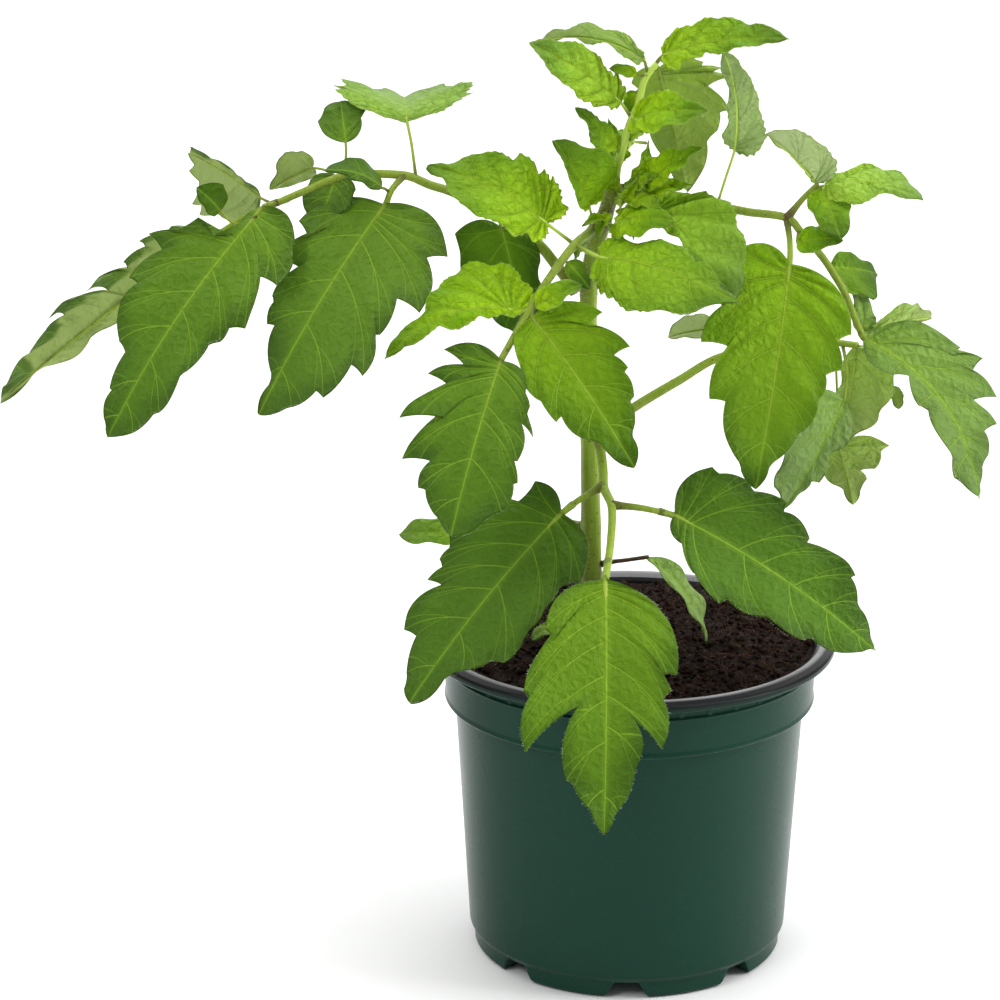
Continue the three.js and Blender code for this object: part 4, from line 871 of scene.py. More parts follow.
def blade(row, age, tone, number):
    """The whole leaflet: both halves above, the same below by the blade's thickness and with raised
    veins, and a narrow strip round the edge. looks holds under, age and tone for each point. Where a
    leaflet is folded, its left lobes bend over by the square of the way out and show their upper skin.
    A turned leaflet has its upper skin on the other side."""
    face, length = leaflet_frame(row)[3:5]
    toothed = row.get("teeth", 0.0)
    parts = []
    for numbers, side in halves(row):
        s, w, marks, puff, vein_gap, fork, lobe, t = half_blade(row, numbers, side, toothed, age)
        middle = placed(row, s, w)
        quilt = row.get("quilt", 0.08 + 0.10 * age)
        ruffle = RUFFLE * length * np.sin(s * 17 + side * 2 + number) * t**2
        groove = (0.12 + 0.30 * age) * np.exp(-((vein_gap / GROOVE_REACH) ** 2)) * (t < 0.97)
        fading = np.sin(math.pi * np.clip(t * 0.9 + 0.1, 0, 1)) ** 0.5
        domes = puckers(s * length, w * length, number) * fading
        relief = quilt * puff + ruffle - groove + (0.20 + 0.25 * age) * domes
        folded = row.get("folded", 0.0) * (side > 0)
        upper = middle + face * (relief - BLADE_SUNK - folded * lobe**2 * FOLDED_BEND)[..., None]
        ridge = RIDGE_HEIGHT * np.exp(-((vein_gap / RIDGE_REACH) ** 2)) * (1 - t)
        lower = upper - face * (BLADE_THICKNESS * (1 - 0.45 * t**6) + ridge)[..., None]
        cells = grid_faces(*s.shape, closed=False)
        rim = np.arange(s.shape[1]) + (s.shape[0] - 1) * s.shape[1]
        strip = np.stack([rim[:-1], rim[1:], rim[1:] + s.size, rim[:-1] + s.size], axis=-1)
        cells = np.concatenate([cells[:, ::-1], cells + s.size, strip[:, ::-1]])
        points = np.concatenate([upper.reshape(-1, 3), lower.reshape(-1, 3)])
        turned_up = (1 - folded * np.clip(lobe / 1.5 - 0.4, 0, 1)).ravel()
        under = np.abs(row.get("turned", 0.0) - np.concatenate([np.zeros(s.size), turned_up]))
        ages = np.tile((age * (AGE_AT_BASE - AGE_FALL * np.clip(s, 0, 1))).ravel(), 2)
        looks = np.stack([under, ages, np.full(2 * s.size, tone)], axis=-1)
        flat = np.stack([s, w], axis=-1).reshape(-1, 2) * length / 100 + MAP_STEP * number
        parts.append((points, cells if side > 0 else cells[:, ::-1], np.tile(marks.reshape(-1, 3), (2, 1)),
                      looks, np.tile(fork.ravel(), 2), np.tile(flat, (2, 1))))
    return welded(*gathered(parts))


def leaflet_stalk(row, age):
    """The leaflet's own stalk, run on under the blade as the midrib and thinned to nothing at the tip."""
    face, length, midrib = leaflet_frame(row)[3:]
    radius = np.clip(length / 75, 0.45, 1.05)
    middle = placed(row, MIDRIB_PLACES, midrib(MIDRIB_PLACES))
    under = middle - face * (MIDRIB_SUNK * radius + 0.3)[:, None]
    line = smooth_path([*row["start"], *under], OWN_STALK_PITCH)
    start = int(np.argmin(np.linalg.norm(line - under[0], axis=1)))
    radii = np.full(len(line), radius)
    radii[start:] = np.linspace(radius, OWN_STALK_END, len(line) - start)
    radii[:start] *= 1 + 0.25 * np.exp(-((np.arange(start) / 2.0) ** 2))
    near = np.exp(-((np.arange(len(line)) / 3.0) ** 2))
    blush = (0.9 - 0.2 * age) * near - 2.4 * max(age - 0.4, 0) * (1 - near)
    points, faces, _ = tube(line, radii, OWN_STALK_SIDES)
    blush = np.repeat([blush[0], *blush, blush[-1]], OWN_STALK_SIDES)
    return (points, faces, blush), line, radii


def blade_skin():
    """Leaf skin. Colour goes from a deep mature green to a young yellow green by age, paler below.
    Side veins and midrib are drawn by their distance marks, and the net between them is where two Voronoi
    patterns of the flat map have their borders. The same net puffs the skin up in a bump. Shade is painted
    into the creases along the side veins and the net, most on young skin. A thin rim at the edge is
    darker on mature skin and a painted highlight on young skin."""
    finish = Finish("leaf_skin", {
        "Roughness": 0.42, "Specular IOR Level": 0.20, "Specular Tint": colour(0.75, 1.0, 0.35)})
    blend, reckon = finish.blend, finish.reckon

    def split(name):
        return finish.node("SeparateXYZ", {"Vector": finish.mark(name)["Vector"]})

    def ramp(value, low, high, start=0.0, end=1.0):
        return finish.ramp(value, low, high, start, end, "SMOOTHSTEP")

    def highest(first, second):
        return reckon("MAXIMUM", first, second)

    vein, rib, edge = split("marks")
    under, age, tone = split("looks")
    fork = reckon("ABSOLUTE", finish.mark("fork")["Fac"], 0.0)
    flat = finish.node("UVMap", {}, uv_map="blade")["UV"]
    wobble = finish.node("TexNoise", {"Vector": flat, "Scale": 30.0, "Detail": 2.0})["Color"]
    bent = finish.node("Mix", {"Factor": 0.02, "A": flat, "B": wobble}, data_type="VECTOR")[1]
    net, fine_net = (
        finish.node("TexVoronoi", {"Vector": bent, "Scale": scale}, feature="DISTANCE_TO_EDGE")[0]
        for scale in (30.0, 85.0))
    drift = ramp(finish.noise(finish.place(), 45.0, 2.0), 0.35, 0.65)
    mottle = finish.noise(flat, 120.0, 3.0)

    upper = blend(ramp(age, 0.0, 1.0), blend(drift, *DEEP_GREENS), blend(drift, *YOUNG_GREENS))
    upper = blend(ramp(age, 0.75, 1.5, 0.0, 0.9), upper, YELLOWED)
    upper = blend(reckon("MULTIPLY", ramp(edge, 1.0, 13.0), 0.75), upper, blend(age, *MIDDLE_GREENS))
    # tone mixes in a paler grey green, partly own colour and partly painted sheen.
    upper = blend(reckon("MULTIPLY", tone, 0.7, clamp=True), upper, PALE_AND_SHEEN)
    upper = blend(reckon("MULTIPLY", mottle, 0.25), upper, MOTTLED)
    # Painted shade in the creases: darker along the side veins and the net's borders, most on young skin.
    crease = highest(ramp(vein, 1.0, 7.0, 0.42, 0.0), ramp(net, 0.0, 0.16, 0.30, 0.0))
    upper = blend(reckon("MULTIPLY", crease, ramp(age, 0.1, 0.8, 0.15, 1.0)), upper, CREASE_SHADE)
    lower = blend(ramp(age, 0.2, 1.1), blend(mottle, *UNDERSIDES), blend(mottle, *YOUNG_UNDERSIDES))
    lower = blend(reckon("MULTIPLY", tone, 0.6, clamp=True), lower, BLEACHED_UNDERSIDE)
    skin = blend(under, upper, lower)

    side_line = ramp(vein, 0.6, 1.5, 0.9, 0.0)
    rib_line = ramp(rib, 0.6, 1.4, 1.0, 0.0)
    fork_line = ramp(fork, 0.08, 0.22, 0.5, 0.0)
    halo = ramp(rib, 0.0, 9.0, 0.30, 0.0)
    net_line = ramp(net, 0.008, 0.035, 0.18, 0.0)
    fine_line = ramp(fine_net, 0.01, 0.08, 0.08, 0.0)
    lines = highest(highest(side_line, rib_line), highest(net_line, fine_line))
    lines = highest(highest(lines, fork_line), halo)
    vein_colour = blend(under, blend(age, *VEINS_ABOVE), VEINS_BELOW)
    skin = blend(reckon("MULTIPLY", lines, 0.9), skin, vein_colour)
    # A thin rim at the edge: darker on mature skin, a painted highlight on young skin.
    skin = blend(ramp(edge, 0.1, 0.8, 0.55, 0.0), skin, blend(ramp(age, 0.2, 0.6), *EDGE_DARK_AND_HIGHLIGHT))

    height = reckon("ADD", ramp(net, 0.0, 0.40), reckon("MULTIPLY", ramp(fine_net, 0.0, 0.45), 0.3))
    height = reckon("SUBTRACT", height, highest(highest(side_line, rib_line), fork_line))
    bump = finish.bump(height, ramp(age, 0.0, 1.0, 0.40, 0.85), 0.0010)
    lit = blend(ramp(age, 0.0, 1.2), *LIGHT_THROUGH)
    glow = finish.node("BsdfTranslucent", {"Color": lit, "Normal": bump})[0]
    share = ramp(age, 0.0, 1.0, 0.26, 0.38)
    through = finish.node("MixShader", {0: share, 1: finish.shader.outputs[0], 2: glow})[0]
    finish.fill(finish.tree.nodes["Material Output"], {"Surface": through})
    return finish.done({"Base Color": skin, "Normal": bump})


leaf_material = blade_skin()


def edge_hairs(row, number):
    """Fine spikes along the edge, pointing away from the midrib and a little down."""
    along, _, face, length, midrib = leaflet_frame(row)[1:]
    draw = np.random.default_rng(500 + number)
    feet, tips = [], []
    for numbers, side in halves(row):
        s, w = edge_line(numbers, length, row.get("teeth", 0.0))[:2]
        line = placed(row, s, w * side)
        count = max(4, int(len(line) * EDGE_HAIRS))
        low, share = chance_spots(draw, line, count)
        spot = between(line, low, share)
        inside = np.clip(s[low], 0, 1)
        away = unit(spot - placed(row, inside, midrib(inside)) + 1e-6)
        lean = away + draw.normal(0, 0.35, (count, 3)) - 0.2 * face
        feet.append(spot - face * 0.3 - away * 0.15)
        tips.append(spot - face * 0.3 + lean * draw.uniform(0.25, 0.6, (count, 1)))
    return spikes(np.concatenate(feet), np.concatenate(tips), along, face, EDGE_HAIR_THICKNESS)


def grow_leaf(name, slot, age, seed, thick, thin, stalk, leaflets, branches=(), blush=0.0):
    """Blades, stalks and hairs of one compound leaf, each as one piece. The stalk runs from thick to thin,
    a branch from thin to four fifths of it. A leaf's own blush makes its stalks browner where it is above
    zero, and fresher where it is below."""
    draw = np.random.default_rng(seed)
    blades, stalks, fuzz = [], [], []
    for number, row in enumerate(leaflets):
        blades.append(blade(row, row.get("age", age), row.get("tone", draw.uniform(0, 0.15)), seed + number))
        own_stalk, line, radii = leaflet_stalk(row, row.get("age", age))
        stalks.append(own_stalk)
        hair_count = len(line) * OWN_STALK_HAIRS
        fuzz.append(hairs(line, radii, hair_count, OWN_STALK_HAIR_LENGTH, seed * 31 + number))
        fuzz.append(edge_hairs(row, seed + number))
    for route, start, end in [(stalk, thick, thin), *((branch, thin, thin * 0.8) for branch in branches)]:
        line = smooth_path(route, STALK_PITCH)
        radii = np.linspace(start, end, len(line))
        radii += 0.5 * np.exp(-((np.arange(len(line)) / 2.2) ** 2))
        points, faces, along = tube(line, radii, STALK_SIDES, stem_swell)
        at_foot = np.exp(-((along * len(line) / 6.0) ** 2))
        stalks.append((points, faces, (0.9 - 0.5 * age) * at_foot + 0.15 - 2.4 * max(age - 0.4, 0)))
        hair_count = len(line) * STALK_HAIRS
        fuzz.append(hairs(line, radii, hair_count, STALK_HAIR_LENGTH, seed * 17 + len(line)))
    points, faces, marks, looks, fork, flat = gathered(blades)
    add_piece(name + "_blades", points, faces, leaf_material, slot, [name],
              {"marks": marks, "looks": looks, "fork": fork}, flat)
    points, faces, own_blush = gathered(stalks)
    add_piece(name + "_stalks", points, faces, stalk_material, slot, [name], {"blush": own_blush + blush})
    add_piece(name + "_hairs", *gathered(fuzz), hair_material, slot, [name])


grow_leaf("leaf_1", "leaf", 0.12, 100, thick=1.9, thin=1.1, stalk=[
    (-18.9, 1.5, 231.4), (-21, 3, 234), (-26, 5, 240), (-31, 6, 246), (-38, 7, 251), (-44, 7, 255.5),
    (-60.5, 7, 264), (-67.5, 6, 266.5), (-74, 5, 269.5), (-80.5, 4, 270.5), (-95, 2, 270.5),
    (-109, 0, 265.5), (-117, -2, 262.5), (-122, -3, 261),
], leaflets=[
    leaflet(
        [(-76, 4.5, 270), (-80, 0, 266)], (-82, -3, 262), (-123, -30, 198), (-0.3, -0.85, 0.4),
        bow=6, fold=7,
        left=[8, 38, 12, 30, 34, 42, 33, 30, 49, 31, 50, 29, 67, 34, 65, 27, 82, 23, 81, 19, 91, 11, 94, 8],
        right=[24, 25, 28, 18, 43, 27, 40, 16, 56, 18, 58, 16, 67, 14, 66, 11, 83, 4, 88, 2]),
    leaflet(
        [(-117, -2, 262.5)], (-122, -3, 261), (-173, -26, 189), (-0.4, -0.82, 0.4), bow=7, fold=6,
        left=[4, 20, 11, 25, 21, 26, 22, 17, 40, 27, 43, 21, 49, 20, 52, 17, 64, 17, 67, 16, 82, 14, 84, 12],
        right=[9, 3, 19, 7, 16, 16, 25, 20, 31, 29, 33, 21, 48, 24,
               48, 20, 69, 15, 71, 11, 85, 8, 85, 7, 95, 4, 97, 2]),
    leaflet(
        [(-44, 7, 255.5)], (-44, 3.5, 253), (-36, 8, 213), (0.1, -0.75, 0.65), bow=8, fold=5,
        left=[36, 24, 50, 20, 88, 8, 94, 6], right=[-6, 39, 15, 42, 46, 34, 60, 26, 82, 16, 90, 8]),
    leaflet(
        [(-114, -1, 263.5), (-128, 5, 256)], (-140, 9, 248), (-214, 18, 189), (0.35, 0.8, 0.45),
        bow=6, fold=-8, tone=0.3, age=0.15, folded=1,
        left=[5, 15, 13, 11, 21, 15, 22, 11, 30, 13, 32, 9, 44, 16, 43, 6, 63, 15, 62, 9, 76, 10, 80, 7],
        right=[28, 5, 34, 3, 54, 4, 60, 3, 80, 2, 86, 1]),
    leaflet(
        [(-97, 2, 270.5)], (-98, 2, 270), (-104, -2, 252), (-0.1, -0.8, 0.6), bow=10, fold=5,
        left=[10, 41, 22, 41, 50, 36, 65, 25], right=[18, 41, 34, 42, 68, 34, 80, 24]),
    leaflet(
        [(-80.5, -0.6, 265.4), (-82, -2, 267)], (-83, -4, 268), (-101, -10, 275), (0, -0.55, 0.83),
        bow=14, fold=-10,
        left=[28, 17, 40, 16, 62, 13, 71, 9], right=[22, 42, 33, 43, 66, 32, 78, 21]),
    leaflet(
        [(-96, 2, 270.5), (-95, 4, 276)], (-95, 5, 281), (-97, 14, 293), (0.1, -0.85, 0.5), bow=5, fold=10,
        left=[50, 56, 80, 38], right=[46, 40, 62, 40, 84, 60, 88, 26]),
    leaflet(
        [(-98, 1.7, 270), (-102, 6, 271.5)], (-106, 8, 272), (-121, 15, 263), (0, 0.8, 0.6),
        bow=5, fold=6, tone=0.2,
        left=[-10, 42, 2, 44, 20, 55, 36, 46, 62, 26, 76, 15], right=[27, 26, 43, 24, 66, 20, 84, 12]),
    leaflet(
        [(-119, -2, 262)], (-123, 3, 263), (-148, 22, 274), (0.1, 0.9, 0.3),
        bow=5, fold=4, tone=0.3, folded=1,
        left=[22, 8, 41, 4, 56, 11, 76, 5, 93, 14, 98, 8],
        right=[54, 57, 66, 54, 83, 68, 82, 56, 93, 60, 88, 30, 98, 20, 94, 12]),
    leaflet(
        [(-124, -5, 258.5), (-131, -4, 255.5)], (-136, -4, 260), (-143, -10, 269), (0, -0.8, 0.6),
        bow=8, fold=10,
        left=[45, 34, 78, 26], right=[30, 47, 48, 50]),
    leaflet(
        [(-72, 5, 269), (-73.5, 8, 280)], (-75, 12, 287), (-77, 50, 287.5), (0, 0.1, 1),
        bow=5, fold=20, age=0.5, tone=0.55, teeth=0.35,
        left=[12, 62, 20, 52, 34, 63, 40, 52, 54, 56, 60, 42, 76, 34, 82, 20],
        right=[10, 58, 20, 52, 36, 58, 42, 48, 58, 48, 64, 36, 78, 28, 84, 16]),
])

# Leaf 2 comes forwards on the left, on a green stalk grown out of the stem's front just under the crown.
# Its leaflets are cut deeper than those of leaf 1, and the upper three are still young.
grow_leaf("leaf_2", "leaf", 0.3, 200, thick=1.6, thin=1.1, stalk=[
    (-12.4, -3.1, 255.6), (-15, -7, 253.5), (-20, -16, 251.5), (-26.5, -24, 245), (-34.5, -32, 234.5),
    (-39, -37, 227.5), (-44, -43, 220),
], leaflets=[
    leaflet(
        [(-20, -16, 251.5)], (-29, -17, 259), (-68, -14, 277), (0.1, -0.6, 0.8),
        bow=10, fold=8, age=0.8, teeth=0.35, quilt=0.2,
        left=[5, 29, 12, 24, 20, 33, 29, 31, 52, 34, 60, 30, 79, 21, 86, 10],
        right=[-10, 20, -4, 21, 11, 39, 11, 33, 19, 38, 22, 28,
               41, 40, 43, 31, 65, 25, 70, 21, 79, 16, 87, 6]),
    leaflet(
        [(-20, -16, 251.5)], (-12.1, -23, 249.3), (31.5, -53, 241.3), (0.25, -0.75, 0.62),
        bow=8, fold=-6, age=0.68, teeth=0.35, quilt=0.1,
        left=[2, 20, 21, 17, 33, 22, 42, 21, 57, 18, 61, 15, 83, 6, 86, 4],
        right=[9, 19, 13, 21, 21, 29, 22, 27, 27, 30, 29, 28,
               42, 33, 47, 32, 57, 31, 66, 26, 81, 15, 89, 9]),
    leaflet(
        [(-33.5, -31, 236)], (-37, -34, 234), (-81, -50, 222), (-0.2, -0.65, 0.73),
        bow=10, fold=-12, sweep=-10, age=0.75, teeth=0.2, quilt=0.2,
        left=[10, 2, 15, 0, 27, 2, 31, -1, 54, -1, 59, -4, 80, -1, 85, -2],
        right=[-14, 24, -12, 28, -8, 54, -2, 54, 21, 53, 28, 47,
               43, 40, 48, 35, 61, 22, 70, 18, 84, 13, 90, 9]),
    leaflet(
        [(-33.5, -31, 236)], (-34, -34, 232), (-1, -50, 186), (0.1, -0.85, 0.45), bow=8, fold=6, age=0.4,
        left=[20, 32, 22, 21, 44, 34, 43, 24, 53, 26, 54, 23, 68, 20, 69, 17, 83, 10, 86, 8],
        right=[17, 22, 26, 26, 40, 26, 42, 25, 56, 24, 55, 20, 74, 14, 79, 10]),
    leaflet(
        [(-42, -41, 223)], (-44, -43, 220), (-60, -66, 168), (-0.15, -0.85, 0.45), bow=6, fold=6, age=0.1,
        left=[13, 19, 16, 20, 22, 24, 28, 24, 38, 30, 32, 22,
              53, 26, 53, 24, 64, 29, 65, 27, 81, 24, 87, 17],
        right=[3, 31, 9, 17, 18, 36, 22, 22, 46, 43, 40, 20, 67, 36, 64, 21, 80, 23, 80, 19, 91, 12, 95, 7]),
    leaflet(
        [(-34, -32, 234.5)], (-33, -33, 235), (-18, -36, 243), (0.1, -0.7, 0.7), bow=8, fold=5, age=0.9,
        left=[40, 27, 54, 24], right=[50, 24, 72, 14]),
    leaflet(
        [(-13.6, -5, 255)], (-15, -10, 263), (-27, -16, 286), (0.5, -0.8, 0.3),
        bow=8, fold=20, age=0.7, teeth=0.2, quilt=0.2,
        left=[14, 20, 26, 19, 55, 13, 61, 10], right=[6, 24, 10, 26, 26, 48, 40, 47, 64, 34, 76, 22]),
    leaflet(
        [(-24, -21, 247.5)], (-22.5, -21, 247), (-15, -22, 238), (0.2, -0.8, 0.5), bow=5, fold=5,
        left=[40, 34, 60, 22], right=[40, 30, 60, 20]),
    leaflet(
        [(-38, -36, 229)], (-38, -36.5, 227), (-37, -37, 220), (0.2, -0.9, 0.3), bow=5, fold=5,
        left=[45, 40, 65, 30], right=[45, 36, 65, 28]),
])

# Leaf 3 is the low leaf at the front, grown out of the stem at 184 mm and bent down at once. It has
# three broad mature leaflets, the middle one hanging over the pot's lip.
grow_leaf("leaf_3", "leaf", 0.2, 300, thick=1.7, thin=1.2, blush=-0.3, stalk=[
    (-12.4, -4.1, 184), (-11, -7, 180.5), (-10, -12, 174), (-9.8, -18, 169.5), (-7.5, -28, 166),
    (-8, -38, 157.5), (-10, -50, 148),
], branches=[
    [(-9.9, -17.5, 170), (-17.8, -22, 166.5), (-24, -26, 163)],
    [(-7.6, -27, 166.2), (2, -28, 165.5), (13, -28, 163)],
], leaflets=[
    leaflet(
        [(-20, -23, 165.2)], (-24, -26, 163), (-74, -52, 106), (-0.45, -0.85, 0.35), bow=6, fold=6, age=0.02,
        left=[19, 28, 26, 22, 32, 24, 40, 26, 45, 26, 52, 26, 64, 24, 67, 19, 77, 12, 84, 8],
        right=[-4, 17, 8, 18, 13, 30, 23, 30, 36, 29, 40, 26, 46, 27,
               48, 24, 56, 25, 54, 19, 78, 20, 77, 14, 91, 9, 97, 5]),
    leaflet(
        [(8, -28, 164.3)], (13, -28, 163), (79, -46, 122), (0.3, -0.75, 0.6), bow=7, fold=8, age=0.02,
        left=[2, 26, 6, 25, 18, 30, 22, 27, 36, 28, 37, 24, 52, 22,
              52, 20, 76, 19, 75, 17, 83, 11, 87, 10, 94, 6, 97, 3],
        right=[10, 10, 11, 11, 20, 22, 21, 22, 36, 27, 38, 23,
               54, 21, 57, 21, 73, 18, 75, 15, 96, 5, 98, 2]),
    leaflet(
        [(-9, -44, 153)], (-10, -50, 148), (-11, -92, 76), (0.05, -0.85, 0.5), bow=7, fold=7,
        left=[39, 27, 39, 21, 45, 25, 48, 22, 68, 21, 57, 11, 72, 13, 79, 11, 91, 5, 93, 4],
        right=[22, 24, 26, 20, 47, 32, 49, 30, 70, 31, 52, 11, 80, 15, 82, 12, 90, 7, 93, 5]),
])

# Leaf 4 grows out of the stem's top, runs out to the right and turns down at its end. Its tall leaflet
# at the top has nearly the same pale skin on both sides: partly its own pale colour, partly painted light
# that lifts it out of the shade it lies in.
grow_leaf("leaf_4", "leaf", 0.35, 400, thick=1.6, thin=1.1, stalk=[
    (-4.4, 1.2, 266), (1.6, 3, 265.3), (14.5, 3, 262.7), (27, 0, 260.8), (36.5, -5, 260), (50, -14, 259.5),
    (53.6, -15, 255.5), (61, -16, 247), (65, -16, 241), (68.5, -16, 235), (72, -15, 226.5), (75, -15, 220),
], branches=[
    [(49, -13.8, 259.7), (54, -13.5, 266), (59, -13, 271)],
], leaflets=[
    # Painted light: tone and turned make this leaflet paler than its own skin, where it lies in shade.
    leaflet(
        [(27, 0, 260.8), (29.5, -4, 271)], (32, -9, 281), (28, -4, 313), (0.5, 0.8, -0.2),
        bow=-6, fold=6, sweep=12, tone=1.4, age=1.15, teeth=0.3, turned=0.45, quilt=0.2,
        left=[0, 28, 5, 31, 37, 35, 43, 33, 79, 22, 84, 17], right=[18, 10, 29, 3, 50, -3, 62, -3]),
    leaflet(
        [(57, -13, 269)], (59, -13, 271), (42, -10, 287), (0.3, 0.7, 0.6),
        bow=6, fold=8, tone=1.5, age=0.95, teeth=0.3, turned=0,
        left=[8, 52, 14, 50, 32, 53, 45, 44, 78, 36, 88, 22], right=[36, 6, 46, 4, 78, 8, 89, 5]),
    leaflet(
        [(57, -13, 269)], (61, -14, 271), (92, -24, 268), (0.1, -0.5, 0.86),
        bow=12, fold=-12, age=0.9, teeth=0.25, tone=0.45,
        left=[14, 25, 21, 26, 48, 34, 56, 31, 79, 22, 86, 15], right=[22, 27, 37, 29, 58, 14, 72, 8]),
    leaflet(
        [(57, -13, 269)], (60, -15, 270), (65, -32, 257), (-0.1, -0.8, 0.6),
        bow=10, fold=-8, age=0.65, tone=0.1,
        left=[51, 31, 76, 22], right=[30, 30, 52, 26]),
    leaflet(
        [(49, -14, 259.7), (50, -17, 252)], (50, -19, 246), (39, -38, 175), (0.12, -0.85, 0.5),
        bow=6, fold=6, age=0.45, quilt=0.2,
        left=[27, 30, 31, 24, 43, 29, 46, 22, 55, 22, 57, 20, 71, 17, 74, 14, 86, 7, 90, 4],
        right=[-4, 22, 3, 25, 17, 31, 23, 28, 40, 35, 40, 23, 64, 27, 64, 20, 89, 10, 93, 8]),
    leaflet(
        [(53, -15, 256.5)], (52, -20, 253), (66, -28, 256), (0.1, -0.7, 0.7), bow=8, fold=6, age=0.65,
        left=[30, 34, 43, 30], right=[48, 36, 64, 28]),
    leaflet(
        [(63, -16, 244)], (64, -12, 243), (81, 2, 237), (0.2, -0.7, 0.65), bow=6, fold=5, age=0.3,
        left=[44, 26, 71, 17], right=[24, 46, 58, 52, 73, 38]),
    leaflet(
        [(74, -15, 222)], (75, -15, 220), (113, -32, 170), (0.35, -0.82, 0.45),
        bow=6, fold=6, sweep=12, tone=0.45, age=0.25,
        left=[33, 38, 34, 31, 44, 43, 46, 34, 64, 39, 58, 26, 75, 29, 74, 21, 85, 16, 88, 10, 94, 6, 97, 4],
        right=[24, 2, 29, -4, 44, 0, 49, -3, 71, 2, 75, 2, 84, 6, 89, 4]),
    leaflet(
        [(74, -14, 222)], (77, -9, 220), (100, 8, 221), (0.1, 0.7, 0.7), bow=5, fold=5, tone=0.6, age=1,
        left=[60, 30, 82, 20], right=[10, 46, 20, 48, 60, 34, 80, 18]),
    leaflet(
        [(75, -14.5, 220.5)], (75.5, -13, 221), (73.5, -9, 237), (0.3, -0.9, 0.2),
        bow=6, fold=8, tone=0.9, age=0.5,
        left=[30, 26, 76, 20], right=[28, 26, 80, 14]),
])

# Leaf 5 stands behind on the right, on a stalk that rises from the stem at 184 mm, so that most of its
# mature leaflets show their pale undersides.
grow_leaf("leaf_5", "leaf", 0.2, 500, thick=1.7, thin=1.1, stalk=[
    (-11.1, 1.8, 184.4), (-5, 5, 186.5), (3, 10, 190.5), (16.5, 16, 197), (30, 21, 203.5), (51, 24, 207),
    (68, 24, 208), (77, 20, 208),
], leaflets=[
    leaflet(
        [(36, 22, 205)], (29, 25, 213), (13, 28, 209), (0, 0.75, 0.66), bow=5, fold=5, tone=0.8,
        left=[28, 52, 51, 46], right=[39, 42, 64, 28]),
    leaflet(
        [(75, 21, 208)], (77, 20, 208), (70, 13, 173), (0.6, 0.75, 0.3), bow=5, fold=6, tone=0.4, age=0.6,
        left=[26, 14, 39, 14, 59, 18, 73, 13], right=[18, 41, 30, 40, 49, 38, 58, 32, 76, 22, 87, 11]),
    leaflet(
        [(69.5, 23.6, 208), (71, 26.5, 190)], (72, 26, 171), (78, 28, 149), (0.1, 0.8, 0.5),
        bow=5, fold=5, tone=0.2, age=0.4,
        left=[10, 37, 34, 36, 65, 24, 76, 12], right=[17, 74, 26, 58, 50, 44, 49, 20, 65, 28, 82, 14]),
    leaflet(
        [(72, 23, 208), (73, 16, 200)], (72, 12, 191), (52, 4, 155), (0.5, -0.6, 0.6),
        bow=6, fold=12, tone=0.75,
        left=[35, 15, 45, 8, 68, 12, 70, 6, 80, 6, 86, 4],
        right=[14, 34, 22, 31, 38, 33, 46, 28, 59, 29, 73, 24, 88, 20, 92, 11]),
    leaflet(
        [(77, 20, 208), (84, 18, 202)], (88, 16, 195), (91, 15, 187), (0.3, 0.7, 0.5), bow=4, fold=5,
        left=[24, 24, 66, 22], right=[53, 40, 76, 30]),
])

# Leaf 6 is the lowest leaf, grown out of the stem at 149 mm and bent down behind on the left. It is
# hidden from the front but for one tip.
grow_leaf("leaf_6", "leaf", 0.3, 600, thick=1.5, thin=1, stalk=[
    (-16.1, 2.6, 149), (-19, 7, 148.5), (-31, 18, 147), (-44, 30, 141), (-55, 36, 136),
], leaflets=[
    leaflet(
        [(-53, 35, 137)], (-55, 36, 136), (-80, 47, 132), (-0.1, -0.75, 0.65),
        bow=6, fold=5, age=0.75, tone=0.35,
        left=[30, 18, 59, 17], right=[34, 20, 59, 18]),
    leaflet(
        [(-44, 30, 141)], (-40, 33, 141), (-30, 62, 120), (0.2, 0.5, 0.8), bow=8, fold=6,
        left=[20, 26, 28, 22, 46, 28, 52, 20, 74, 16, 80, 10],
        right=[24, 24, 32, 20, 50, 27, 56, 19, 76, 14, 82, 9]),
    leaflet(
        [(-44, 30, 141)], (-48, 29, 140), (-62, 16, 128), (-0.2, -0.4, 0.9), bow=8, fold=6,
        left=[30, 28, 50, 26], right=[34, 28, 56, 24]),
])

